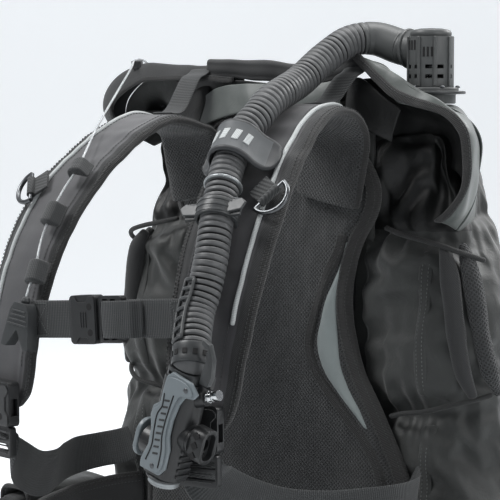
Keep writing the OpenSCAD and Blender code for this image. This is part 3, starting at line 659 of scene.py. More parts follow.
def cloth_run(o, frames=20, pressure=3.0, shrink=-0.05, bend=1.5, tension=12, cap=14.0, pin=None, body=None):
    """Inflates o in place: pinned points stay, no point moves more than cap mm."""
    me = o.data
    co0 = np.zeros(len(me.vertices) * 3)
    me.vertices.foreach_get("co", co0)
    co0 = co0.reshape(-1, 3)
    vg = o.vertex_groups.new(name="pin")
    if pin is not None:
        for k in np.unique(np.round(pin, 2)):
            if k > 0:
                vg.add([int(i) for i in np.where(np.round(pin, 2) == k)[0]], float(k), "REPLACE")
    c = o.modifiers.new("cloth", "CLOTH")
    s = c.settings
    s.quality = 6
    s.mass = 0.25
    s.tension_stiffness = s.compression_stiffness = tension
    s.shear_stiffness = 5
    s.bending_stiffness = bend
    s.use_pressure = True
    s.uniform_pressure_force = pressure
    s.effector_weights.gravity = 0
    s.vertex_group_mass = "pin"
    s.shrink_min = shrink
    s.air_damping = 4
    c.collision_settings.use_collision = False
    c.collision_settings.use_self_collision = False
    c.point_cache.frame_start, c.point_cache.frame_end = 1, frames + 2
    SC.frame_start, SC.frame_end = 1, frames + 2
    for f in range(1, frames + 1):
        SC.frame_set(f)
    dg = bpy.context.evaluated_depsgraph_get()
    ev = o.evaluated_get(dg)
    co = np.zeros(len(ev.data.vertices) * 3)
    ev.data.vertices.foreach_get("co", co)
    co = co.reshape(-1, 3)
    o.modifiers.remove(c)
    SC.frame_set(1)
    d = co - co0
    n = np.linalg.norm(d, axis=1, keepdims=True)
    capm = cap * 0.001
    d = d * np.minimum(1, capm / np.maximum(n, 1e-9))
    d[~np.isfinite(d).all(axis=1)] = 0
    me.vertices.foreach_set("co", (co0 + d).ravel())
    me.update()


# ------------------------------------------------------------------ air cell: two side lobes
PLAN = [(101, -96), (124, -97), (146, -98), (160, -107), (196, -111), (232, -108), (258, -93), (268, -72), (262, -40), (232, -8), (180, 24), (138, 24), (108, 6), (99, -50)]


def outline_x(z):
    q = [(p[1], p[0]) for p in OUT_L[8:]]
    q = sorted(q)
    return np.interp(z, [a for a, b in q], [b for a, b in q])


def lobe(s):
    zs = np.concatenate([[-331.5], np.arange(-328, 203, 6.0), [204]])
    base = resample(np.vstack([closed_spline(PLAN, 10), closed_spline(PLAN, 10)[:1]]), count=125)[:-1]
    PLANB = base[::-1] if s < 0 else base
    G, ST, MI = [], [], []
    pin = []
    per = arclen(np.vstack([base, base[:1]]))[:-1]
    bz = lambda x: 104 - 0.19 * (x - 150)                 # upper bungee height over x
    bz2 = lambda x: -88 + 0.14 * (x - 160)
    for z in zs:
        ox = outline_x(z) + (20 * math.exp(-((z - 15) / 75) ** 2) if s > 0 else 0)
        ox = min(ox, 212 - 16 * float(sstep(z, 120, 175)) + 60 * float(sstep(-z, -120, -60)))
        k = (ox - 101) / (268 - 101)
        xy = base.copy()
        xy[:, 0] = 101 + (xy[:, 0] - 101) * k
        # close the ends like a pillow
        e = 1.0
        if z > 176:
            e = math.sqrt(max(0.02, 1 - ((z - 176) / 29) ** 2))
        if z < -290:
            e = math.sqrt(max(0.02, 1 - ((-290 - z) / 43) ** 2))
        cx, cy = 101 + 80 * k, -42
        xy[:, 0] = cx + (xy[:, 0] - cx) * (0.35 + 0.65 * e)
        xy[:, 1] = cy + (xy[:, 1] - cy) * (0.12 + 0.88 * e)
        front = sstep(-xy[:, 1], 78, 100)
        # hollow under the hood, above the upper bungee
        rec = sstep(z, 100, 150) * front * sstep(xy[:, 0], 120, 150)
        xy[:, 1] += 30 * rec
        # pinch at the bungees, swell between them
        for fz, dep in ((bz, 13), (bz2, 11)):
            zz = np.array([fz(x) for x in xy[:, 0]])
            xy[:, 1] += dep * np.exp(-((z - zz) / 13.0) ** 2) * front * (1 - rec)
        swell = max(0, math.sin(math.pi * (z + 85) / 185)) if -85 < z < 100 else (0.8 * max(0, math.sin(math.pi * (z + 330) / 245)) if z < -85 else 0)
        xy[:, 1] -= 5 * swell * front
        # store the row, and pin the inner side, the bungee lines and the ends
        G.append(np.column_stack([s * xy[:, 0], xy[:, 1], np.full(len(xy), z)]))
        ST.append(np.column_stack([per, np.full(len(xy), z), np.zeros(len(xy))]))
        w = np.zeros(len(xy))
        w[xy[:, 0] < 112] = 1
        zz = np.array([bz(x) for x in xy[:, 0]])
        z2 = np.array([bz2(x) for x in xy[:, 0]])
        w[(np.abs(z - zz) < 4) & (xy[:, 1] < -60)] = 1
        w[(np.abs(z - z2) < 4) & (xy[:, 1] < -60)] = 1
        if z < -326 or z > 200:
            w[:] = 1
        pin.append(w)
    G = np.array(G)
    if s < 0:
        G = G[:, ::-1]
        ST = [x[::-1] for x in ST]
        pin = [x[::-1] for x in pin]
    pin = np.array(pin).ravel()
    P = G.reshape(-1, 3)
    # standing folds that gather at the bungees, and slanting creases
    ctr = np.array([s * 185.0, -45.0, 0])
    nrm = P - ctr
    nrm[:, 2] = 0
    nrm = unit(nrm)
    ang = np.arctan2(P[:, 1] + 45, s * P[:, 0] - 185)
    z = P[:, 2]
    zb = 104 - 0.19 * (np.abs(P[:, 0]) - 150)
    zb2 = -88 + 0.14 * (np.abs(P[:, 0]) - 160)
    near = np.exp(-np.abs(z - zb) / 55) + np.exp(-np.abs(z - zb2) / 50)
    f = 2.6 * near * np.sin(ang * 17 + 1.5 * wav(P, 120, 3)) + 3.2 * wav(P * [1, 1, 0.45], 62, 5 + (s > 0)) + 1.6 * wav(P * [1, 1, 0.7], 28, 9)
    diag = wav(np.column_stack([P[:, 0] + 0.6 * z, P[:, 1], 0.35 * z]), 70, 21 + (s > 0))
    f += 4.0 * np.maximum(0, diag) ** 1.5
    inner = np.abs(P[:, 0]) < 112
    f[inner] *= 0.15
    f[pin > 0.5] *= 0.3
    P = P + nrm * f[:, None]
    P[:, 1] = np.where(inner, np.maximum(P[:, 1], -97), P[:, 1])
    m, n = G.shape[:2]
    G = P.reshape(m, n, 3)
    # materials: painted shade under the hood, as the near-black nylon on the front faces above the upper bungee;
    # charcoal elsewhere; the pale slot gets no faces
    F = grid_faces(m, n, cv=True)
    mi = []
    for i in range(m - 1):
        for j in range(n):
            p = G[i, j]
            x, y, zz = abs(p[0]), p[1], p[2]
            q = PLANB[j]
            k = 2 if (zs[i] > 100 and q[1] < -62) else 0
            mi.append(k)
    F += [tuple(range(n))[::-1], tuple((m - 1) * n + j for j in range(n))]
    mi += [0, 0]
    o = make("air_lobe_left" if s > 0 else "air_lobe_right", G.reshape(-1, 3), F, [M["cell"], M["cellpale"], M["celldark"]], mi=mi,
             st=np.array(ST).reshape(-1, 3), slot="cell_fabric")
    cloth_run(o, 16, 2.2, -0.07, 1.2, 10, 15, pin)
    sb = o.modifiers.new("sub", "SUBSURF")
    sb.levels = sb.render_levels = 1
    return o


LOBE = {s: lobe(s) for s in (1, -1)}
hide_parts("air_cell", "bladder")


bpy.context.view_layer.update()


def surf_y(o, x, z, y0=-200.0, lift=0.0):
    """Front surface of piece o at (x, z): its y, in mm."""
    ok, loc, no, i = o.ray_cast(Vector((x * 0.001, y0 * 0.001, z * 0.001)), Vector((0, 1, 0)), distance=0.4)
    if not ok:
        return None, None
    return np.array(loc) * 1000 + np.array(no) * lift, np.array(no)


# seam strips with two columns of stitches on each lobe front
for s in (1, -1):
    for tag, x0, z0, z1 in (("upper", 199, 88, -70), ("lower", 200, -92, -300)):
        L_, N_ = [], []
        for z in np.arange(z0, z1, -5.0):
            x = s * (x0 - 0.016 * (z0 - z))
            a, na = surf_y(LOBE[s], x - 8, z)
            c, nc = surf_y(LOBE[s], x, z)
            b, nb = surf_y(LOBE[s], x + 8, z)
            if a is None or b is None or c is None:
                continue
            nn = unit(na + nb + nc)
            L_.append((a, c, b))
            N_.append(nn)
        if len(L_) < 6:
            continue
        L_ = np.array(L_)
        N_ = np.array(N_)
        for k in range(3):
            for ax in range(3):
                L_[:, k, ax] = np.convolve(np.pad(L_[:, k, ax], 2, "edge"), np.ones(5) / 5, "valid")
        rows, st = [], []
        for i in range(len(L_)):
            a, c, b = L_[i]
            n_ = N_[i]
            ring = [a - n_ * 1.5, a + n_ * 0.7, a * .6 + c * .4 + n_ * 1.3, c + n_ * 1.4, b * .6 + c * .4 + n_ * 1.3, b + n_ * 0.7, b - n_ * 1.5]
            rows.append(ring)
            st.append([(d, i * 5.0, 0) for d in (-9, -8, -4, 0, 4, 8, 9)])
        loft(f"seam_{tag}_{'left' if s > 0 else 'right'}", np.array(rows), M["cell"], st=np.array(st), sub=1, slot="cell_fabric")
        for q in (0.28, 0.72):
            Pq = np.array([a * (1 - q) + b * q + n_ * 1.5 for (a, c, b), n_ in zip(L_, N_)])
            stitches("seam_stitches", Pq, N_, gap=4.2, L=2.4, r=0.55)

# padded rolls at the outer edge of each lobe, between the bungees
for s in (1, -1):
    for k, (pts, r) in enumerate((
            ([(229, -112, 90), (238, -116, 70), (243, -116, 40), (248, -115, 0), (254, -112, -36), (262, -104, -62)], [5, 9.5, 10.5, 10.5, 9, 5]),
            ([(243, -98, 92), (254, -102, 70), (261, -101, 40), (267, -98, 0), (274, -92, -36), (278, -82, -60)], [5, 9, 10, 10, 9, 5]))):
        D = np.array([list(p) + [q] for p, q in zip(pts, r)], float)
        D[:, 0] = s * (D[:, 0] - (12 if s > 0 else (32 if k == 0 else 42)))
        D = resample(spline(D, 10), 4.0)
        rr = D[:, 3] + 0.7 * wav(D[:, :3], 40, 8 + k)
        o = tube(f"edge_roll_{k}_{'left' if s > 0 else 'right'}", D[:, :3], rr, M["padcloth"] if k == 0 else M["mesh"], n=18, sub=1, slot="strap_fabric")

# ------------------------------------------------------------------ back panel and lower skirt of the cell


def panel(name, Z, X0, X1, Y, mat, nx=24, t=3.0, wob=1.0, seed=1, **kw):
    """Front-facing padded panel from rows of z with x range and y."""
    m = len(Z)
    xs = np.linspace(0, 1, nx)
    F_ = np.array([[(X0[i] + (X1[i] - X0[i]) * a, Y[i], Z[i]) for a in xs] for i in range(m)])
    F_[..., 1] += wob * wav(F_, 70, seed)
    B_ = F_.copy()
    B_[..., 1] += t
    G = np.concatenate([F_, B_[:, ::-1]], axis=1)
    st = G[..., [0, 2, 1]]
    return loft(name, G, mat, st=st, **kw)


zz = np.arange(-326, 258, 9.0)
hw = [min(118, 40 + (z + 336) * 4 if z < -310 else 118) for z in zz]
o = panel("cell_middle", zz, [-h for h in hw], hw, [-98.0] * len(zz), M["cell"], t=3, wob=0.25, seed=4, slot="cell_fabric")

# ------------------------------------------------------------------ hood on the wearer's left, under the elbow


def sheet_between(name, rows, mat, n=44, step=4, t=2.2, wob=1.2, seed=3, sub=1, mats=None, mi=None, slot="cell_fabric", pad=None, edge=None, fold=0.0):
    """Skin through several polylines (each a list of points); thickness t behind."""
    R = [resample(spline(np.array(r, float), 10), count=n) for r in rows]
    R = np.array(R)
    C = np.array([spline(R[:, j], step) for j in range(n)])          # n x k x 3
    G = C
    G = G + 0.0
    du = np.gradient(G, axis=0)
    dv = np.gradient(G, axis=1)
    N = unit(np.cross(du, dv))
    if N[n // 2, G.shape[1] // 2][1] > 0:
        N = -N
    G = G + (wob * wav(G, 55, seed) + fold * np.maximum(0, wav(G * [1, 1, 0.5], 38, seed + 3)))[..., None] * N
    B = G - N * t
    V = np.concatenate([G.reshape(-1, 3), B.reshape(-1, 3)])
    a, b = G.shape[:2]
    F = grid_faces(a, b) + [tuple(x + a * b for x in f[::-1]) for f in grid_faces(a, b)]
    rim = [(i, 0) for i in range(a)] + [(a - 1, j) for j in range(1, b)] + [(i, b - 1) for i in range(a - 2, -1, -1)] + [(0, j) for j in range(b - 2, 0, -1)]
    ids = [i * b + j for i, j in rim]
    for k in range(len(ids)):
        p, q = ids[k], ids[(k + 1) % len(ids)]
        F.append((p, p + a * b, q + a * b, q))
    su = arclen(G[:, b // 2])
    sv = arclen(G[a // 2])
    st = np.array([[(su[i], sv[j], 0) for j in range(b)] for i in range(a)]).reshape(-1, 3)
    o = make(name, V, F, mats or mat, st=np.concatenate([st, st]), sub=sub, slot=slot, mi=mi)
    wid, lon = max(arclen(G[:, j])[-1] for j in range(b)) / 1000, max(arclen(G[i])[-1] for i in range(a)) / 1000
    return o, G, N


def bind(name, G, N, row, w=9.0, t=3.2, mat=None, inward=1, st_key="binding_stitches", body="harness"):
    """Woven tape folded over an edge of a sheet grid: row 0 or -1 of axis 1."""
    E_ = G[:, row]
    I_ = G[:, 1 if row == 0 else -2]
    D_ = unit(I_ - E_) * inward
    n_ = N[:, row]
    ring = []
    for i in range(len(E_)):
        c, d, k = E_[i], D_[i], n_[i]
        ring.append([c + d * w + k * 0.3, c + d * w * 0.93 + k * t * 0.5, c + d * w * 0.45 + k * t * 0.62, c + d * 1.0 + k * t * 0.55, c - d * 1.2, c + d * 1.0 - k * (t * 0.55 + 1.8),
                     c + d * w * 0.9 - k * (t * 0.5 + 1.8), c + d * w - k * 2.4])
    s = arclen(E_)
    st = [[(q, s[i], 0) for q in (9, 8, 4, 1, 0, -1, -8, -9)] for i in range(len(E_))]
    loft(name, np.array(ring), mat or M["binding"], st=np.array(st), sub=1, slot="strap_fabric", body=body)
    stitches(st_key, np.array([E_[i] + D_[i] * w * 0.72 + n_[i] * t * 0.62 for i in range(len(E_))]), n_, gap=4, L=2.5, r=0.42, body=body)


RIM = [(106, -120, 284), (130, -128, 268), (147, -131, 256), (166, -132, 243), (187, -132, 235), (207, -132, 230), (229, -130, 224),
       (243, -126, 209), (247, -124, 194), (247, -122, 163), (240, -121, 144), (222, -120, 125), (208, -119, 116)]
FOLD = [(106, -117, 287), (131, -124, 283), (152, -126, 275), (176, -127, 263), (194, -127, 253), (214, -126, 243), (236, -122, 230),
        (250, -116, 212), (253, -113, 194), (252, -112, 163), (247, -112, 144), (236, -112, 124), (222, -112, 112)]
TOPB = [(106, -105, 284), (130, -104, 276), (150, -104, 262), (160, -118, 240), (186, -122.5, 233.5), (214, -116, 233), (232, -94, 222),
        (237, -84, 206), (239, -79, 190), (238, -78, 163), (235, -80, 144), (229, -86, 122), (220, -94, 106)]
o, G, N = sheet_between("hood_left", [RIM, FOLD, TOPB], M["cellpale"], n=56, step=6, wob=1.0, seed=13, fold=1.5)
L0 = arclen(G[:, G.shape[1] // 2])[-1] / 1000
W0 = arclen(G[G.shape[0] // 2])[-1] / 1000
bind("hood_binding_left", G, N, 0, w=10)
# near-black sheet that closes the hollow under the hood: painted shade in the hollow
LIN1 = [(100, -100, 262), (128, -98, 262), (148, -96, 250), (168, -94, 238), (192, -92, 232), (214, -88, 226), (228, -86, 212), (233, -84, 196), (233, -84, 176)]
LIN2 = [(100, -88, 232), (122, -80, 232), (142, -74, 226), (164, -70, 218), (186, -68, 210), (204, -68, 202), (216, -70, 192), (222, -72, 180), (224, -74, 168)]
LIN3 = [(100, -92, 196), (118, -82, 192), (136, -74, 188), (154, -70, 184), (172, -68, 178), (188, -68, 172), (202, -70, 166), (212, -74, 160), (218, -80, 154)]
o, G, N = sheet_between("hood_painted_shade_left", [LIN1, LIN2, LIN3], M["celldark"], n=44, step=6, wob=1.2, seed=27, fold=2.0)
# the outer flank that carries the hood back over the lobe
BACK = [(112, -94, 276), (132, -92, 268), (150, -90, 250), (160, -78, 233), (186, -60, 232.5), (203, -56, 226), (210, -52, 213),
        (213, -50, 196), (214, -50, 178), (214, -50, 158), (214, -52, 140), (214, -58, 122), (212, -68, 104)]
BK2 = [(118, -50, 214), (134, -40, 214), (150, -30, 212), (164, -20, 210), (186, -10, 206), (176, -6, 204), (181, -6, 196),
       (184, -6, 184), (186, -6, 170), (188, -8, 155), (192, -10, 138), (196, -16, 120), (200, -28, 104)]
o, G, N = sheet_between("hood_back_left", [TOPB, BACK, BK2], M["cellpale"], n=48, step=5, wob=1.5, seed=23, fold=2.5)

# hood lip on the wearer's right, with its binding and the sheet behind it
RIM_R = [(-60, -119, 259), (-113, -121, 262), (-154, -122, 263), (-192, -122, 261), (-218, -121, 252), (-236, -119, 242), (-246, -117, 232),
         (-245, -116, 222), (-238, -115, 212)]
OUT_R2 = [(-60, -110, 276), (-113, -110, 278), (-160, -110, 281), (-206, -109, 282), (-238, -107, 272), (-262, -105, 257), (-273, -103, 241),
          (-271, -103, 226), (-258, -103, 209)]
BK_R = [(-60, -99, 272), (-113, -99, 272), (-160, -98, 272), (-202, -94, 268), (-228, -88, 258), (-248, -84, 244), (-256, -82, 228),
        (-254, -80, 214), (-247, -80, 200)]
o, G, N = sheet_between("hood_right", [RIM_R, OUT_R2, BK_R], M["padcloth"], n=50, step=6, wob=0.7, seed=31, fold=0.8)
bind("hood_binding_right", G, N, 0, w=7)
BK_R2 = [(-60, -97, 240), (-113, -96, 236), (-150, -94, 230), (-176, -84, 214), (-196, -30, 206), (-215, -20, 203), (-232, -24, 198),
         (-238, -34, 192), (-240, -50, 186)]
o, G, N = sheet_between("hood_back_right", [BK_R, BK_R2], M["cell"], n=44, step=6, wob=1.0, seed=33, fold=1.5)

# padded band over the middle, with two grooves along its face
BT = [(-100, -112, 276, 20, 13), (-60, -112, 275, 21, 14), (-20, -111, 272, 22, 14), (20, -111, 268, 23, 14), (60, -111, 268, 22, 14), (92, -111, 274, 20, 13), (112, -112, 280, 16, 11)]
D = resample(spline(np.array(BT, float), 8), 4.0)
t_, u_, v_ = transport(D, (0, 0, 1))
rows, st = [], []
s_ = arclen(D)
for i in range(len(D)):
    h, th = D[i, 3] / 2, D[i, 4] / 2
    ring, q_ = [], []
    for a in np.linspace(0, 2 * math.pi, 28, endpoint=False):
        ca, sa = math.cos(a), math.sin(a)
        z = h * math.copysign(abs(ca) ** 0.7, ca)
        y = -th * math.copysign(abs(sa) ** 0.8, sa)
        if y < 0:
            y += 1.6 * math.exp(-((z - h * 0.25) / 1.8) ** 2) + 2.2 * math.exp(-((z + h * 0.62) / 1.8) ** 2)
        ring.append(D[i, :3] + np.array([0, y, z]))
        q_.append((z, s_[i], 0))
    rows.append(ring)
    st.append(q_)
G = np.array(rows)
G[..., 1] += 0.8 * wav(G, 50, 41)
G[..., 2] += 0.7 * wav(G, 60, 42)
o = loft("top_band", G, M["padcloth"], st=np.array(st), sub=1, slot="cell_fabric")
# inner fold under the band, in the near-black nylon: painted shade under the band
o, G, N = sheet_between("band_underfold_shade_sheet", [[(-150, -113, 262), (-60, -115, 262), (0, -117, 258), (60, -117, 258), (104, -116, 268)],
                                           [(-150, -108, 250), (-60, -112, 250), (0, -116, 246), (60, -116, 247), (104, -113, 255)],
                                           [(-150, -102, 236), (-60, -104, 238), (0, -108, 236), (60, -110, 236), (104, -106, 240)]],
                        M["celldark"], n=40, step=5, wob=0.8, seed=43)
# smooth pale cloth that leads from the band down to the pad's head
o, G, N = sheet_between("head_cloth", [[(-124, -112, 232), (-100, -116, 246), (-66, -121, 256), (-20, -123, 258), (20, -123, 257), (60, -122, 257), (88, -119, 262)],
                                       [(-122, -116, 218), (-96, -122, 232), (-62, -127, 243), (-20, -130, 245), (20, -130, 245), (60, -129, 243), (92, -124, 244)],
                                       [(-124, -122, 196), (-102, -128, 206), (-70, -133, 220), (-20, -136, 228), (20, -136, 228), (62, -134, 224), (96, -128, 214)]],
                       M["cellpale"], n=50, step=6, wob=1.2, seed=45, fold=0.8)
# panels between the lifter and the hood, wearer's left then right, in the near-black nylon: painted shade between the
# parts
o, G, N = sheet_between("neck_panel_left", [[(98, -114, 262), (112, -116, 264), (128, -117, 256), (146, -118, 243), (164, -114, 230)],
                                            [(98, -122, 238), (112, -124, 240), (126, -122, 234), (140, -118, 224), (154, -110, 212)],
                                            [(104, -128, 212), (116, -126, 212), (126, -122, 208), (136, -114, 202), (146, -104, 196)]],
                       M["celldark"], n=30, step=6, wob=0.8, seed=47, fold=0.4)
o, G, N = sheet_between("neck_panel_right", [[(-98, -112, 258), (-112, -112, 256), (-128, -110, 248), (-146, -108, 240), (-164, -104, 232)],
                                             [(-98, -120, 236), (-112, -120, 234), (-126, -116, 226), (-140, -110, 216), (-154, -102, 208)],
                                             [(-104, -126, 212), (-116, -124, 208), (-126, -118, 202), (-136, -108, 196), (-146, -100, 190)]],
                       M["celldark"], n=30, step=6, wob=0.8, seed=48, fold=0.4)

# ------------------------------------------------------------------ bungees
for s in (1, -1):
    for k, P in enumerate(([(146, -113, 107), (168, -119.5, 102), (190, -121, 98), (226, -118.5, 92), (246, -110, 85), (262, -92, 77)],
                           [(152, -111, -90), (175, -120, -84), (200, -121.5, -80), (232, -117, -73), (256, -106, -66), (272, -92, -60)])):
        P = np.array(P, float)
        P[:, 0] = np.where(P[:, 0] > 200, P[:, 0] - (8 if s > 0 else 0.55 * (P[:, 0] - 200)), P[:, 0]) * s
        tube(f"bungee_{k}_{'left' if s > 0 else 'right'}", resample(spline(P, 8), 3.0), 2.7, M["bungee"], n=14, slot="cord",
             rep=("bungees",) if (s > 0 and k == 0) else ())

# ------------------------------------------------------------------ back pad
HALF = [[0, 238], [40, 235], [84, 216], [112, 190], [132, 168], [141, 147], [137, 121], [120, 95], [108, 63], [104, 28], [108, -8],
        [121, -47], [141, -80], [162, -118], [178, -150], [186, -185], [184, -235], [160, -282], [100, -305], [0, -310]]
hs = resample(spline(np.array(HALF, float), 12), 5.0)
hs = hs[1:-1]
nx = 61
xs = np.linspace(-1, 1, nx)


def pad_y(x, z, w):
    """Front face of the pad: crowned mesh, sunk channels, thinner at the edge."""
    d = (w - abs(x))
    y = -121.5 - 8.0 * sstep(d, 1, 20)
    y += 2.6 * math.exp(-((d - 17) / 3.2) ** 2)                       # channel inside the binding
    y -= 2.2 * math.cos(min(1, abs(x) / 95) * math.pi / 2) * sstep(z, -250, -150)
    return y


wz = np.interp
zs_, ws_ = hs[:, 1], hs[:, 0]


def width_at(z):
    o = np.argsort(zs_)
    return np.interp(z, zs_[o], ws_[o])


Gf, Gb = [], []
rowz = np.concatenate([[236.0], np.arange(231, -300, -5.5), [-305.0]])
for z in rowz:
    wd = max(12, width_at(z))
    edge_top = sstep(236 - z, 0, 20)
    edge_bot = sstep(z + 307, 0, 20)
    Gf.append([(x * wd, min(-118, -118 + (pad_y(x * wd, z, wd) + 118) * (0.25 + 0.75 * edge_top * edge_bot)), z) for x in xs])
    Gb.append([(x * wd, -112.0, z) for x in xs])
Gf, Gb = np.array(Gf), np.array(Gb)
Gf[..., 1] += 1.1 * wav(Gf, 70, 51) + 0.5 * wav(Gf, 24, 52)
G = np.concatenate([Gf, Gb[:, ::-1]], axis=1)
st = G[..., [0, 2, 1]]
n2 = G.shape[1]
ringmi = [0] * n2
o_pad = loft("back_pad_mesh", G, M["mesh"], st=st, sub=1, slot="mesh_pad", rep=("back_pad",))


bpy.context.view_layer.update()


def pad_surf(x, z, lift=0.0):
    ok, loc, no, i = o_pad.ray_cast(Vector((x * 0.001, -0.25, z * 0.001)), Vector((0, 1, 0)), distance=0.3)
    if not ok:
        return np.array([x, -120.0 - lift, z]), np.array([0, -1.0, 0])
    no = np.array(no)
    if no[1] > 0:
        no = -no
    return np.array(loc) * 1000 + no * lift, no


def tape(name, path2, w, mat, lift=1.6, step=4.0, th=2.6, rows=(0.3,), key="pad_stitches", crown=1.0, slot="strap_fabric", seed=5):
    """Woven tape lying on the pad along (x, z) points."""
    D = resample(spline(np.array(path2, float), 8), step)
    T = np.gradient(D, axis=0)
    T = T / np.linalg.norm(T, axis=1, keepdims=True)
    Nn = np.column_stack([-T[:, 1], T[:, 0]])
    prof = [-1, -0.9, -0.5, 0, 0.5, 0.9, 1]
    rws, st, L_ = [], [], []
    s = np.concatenate([[0], np.cumsum(np.linalg.norm(np.diff(D, axis=0), axis=1))])
    for i in range(len(D)):
        top, bot, q_ = [], [], []
        for a in prof:
            p = D[i] + Nn[i] * a * w / 2
            c, n_ = pad_surf(p[0], p[1])
            hh = lift + (crown * (1 - a * a)) - (1.2 if abs(a) == 1 else 0)
            top.append(c + np.array([0, -1, 0]) * hh)
            bot.append(c + np.array([0, 1, 0]) * (th - 1.0))
            q_.append((a * w / 2, s[i], 0))
        rws.append(top + bot[::-1])
        st.append(q_ + q_[::-1])
        L_.append(top)
    G = np.array(rws)
    for ax in range(3):                                            # smooth along the tape
        g = G[..., ax]
        G[2:-2, :, ax] = (g[:-4] + g[1:-3] + g[2:-2] + g[3:-1] + g[4:]) / 5
    loft(name, G, mat, st=np.array(st), sub=1, slot=slot)
    for f in rows:
        for sg in (-1, 1):
            P = np.array([[np.interp(sg * f * 2 - 0, prof, [q[k] for q in g[:7]]) for k in range(3)] for g in G])
            stitches(key, P + np.array([0, -0.35, 0]), np.tile([0, -1.0, 0], (len(P), 1)), gap=4.0, L=2.5, r=0.42)
    return G


# outer binding round the pad and the inner bindings beside the leaf inserts
for s in (1, -1):
    edge = [[s * (x - 6.0), z] for x, z in HALF[1:] if z > -300]
    tape(f"pad_binding_{'left' if s > 0 else 'right'}", edge, 12.5, M["binding"], lift=2.0, th=6)
    inner = [[104, 100], [100, 84], [88, 62], [77, 36], [66, 4], [61, -20], [70, -46], [88, -70], [112, -94], [136, -120], [154, -150], [162, -190]]
    tape(f"leaf_binding_{'left' if s > 0 else 'right'}", [[s * (x - 4), z] for x, z in inner], 11, M["binding"], lift=1.8)
    # pale leaf between them
    Lo = [[104, 92], [96, 66], [83, 36], [72, 4], [68, -18], [77, -45], [95, -68], [118, -90], [132, -104]]
    Hi = [[106, 92], [101, 66], [93, 34], [92, 4], [94, -20], [100, -46], [110, -66], [124, -86], [134, -104]]
    a_, b_ = resample(spline(np.array(Lo, float), 8), count=44), resample(spline(np.array(Hi, float), 8), count=44)
    rws, st = [], []
    for i in range(44):
        top, bot, q_ = [], [], []
        for k in np.linspace(0, 1, 9):
            p = a_[i] * (1 - k) + b_[i] * k
            c, n_ = pad_surf(s * p[0], p[1])
            bul = 3.2 * math.sin(math.pi * k) * sstep(np.linalg.norm(a_[i] - b_[i]), 2, 14)
            top.append(c + np.array([0, -1, 0]) * (0.9 + bul))
            bot.append(c + np.array([0, 1, 0]) * 1.5)
            q_.append((p[0], p[1], 0))
        rws.append(top + bot[::-1])
        st.append(q_ + q_[::-1])
    o = loft(f"leaf_insert_{'left' if s > 0 else 'right'}", np.array(rws), M["leaf"], st=np.array(st), sub=1, slot="mesh_pad")

# ------------------------------------------------------------------ shoulder straps
UPOS = [-1.0, -0.975, -0.93, -0.86, -0.82, -0.76, -0.68, -0.55, -0.38, -0.2, 0, 0.2, 0.36, 0.47, 0.53, 0.58, 0.63, 0.68, 0.75, 0.81, 0.85, 0.90, 0.95, 0.985, 1.0]


def strap_h(x, w, side):
    """Upper surface height over half thickness, 0..1."""
    e = abs(x)
    h = 1.0 - 0.36 * e ** 4
    h -= 0.20 * math.exp(-((e - 0.84) / 0.035) ** 2)             # stitched channel inside the binding
    h -= 0.12 * math.exp(-((x - 0.50) / 0.03) ** 2) + 0.14 * math.exp(-((x - 0.70) / 0.03) ** 2)
    if e > 0.86:
        h = 0.62 * math.sqrt(max(0.0, 1 - ((e - 0.9) / 0.1) ** 2)) if e > 0.9 else 0.62
    return max(h, 0.12)


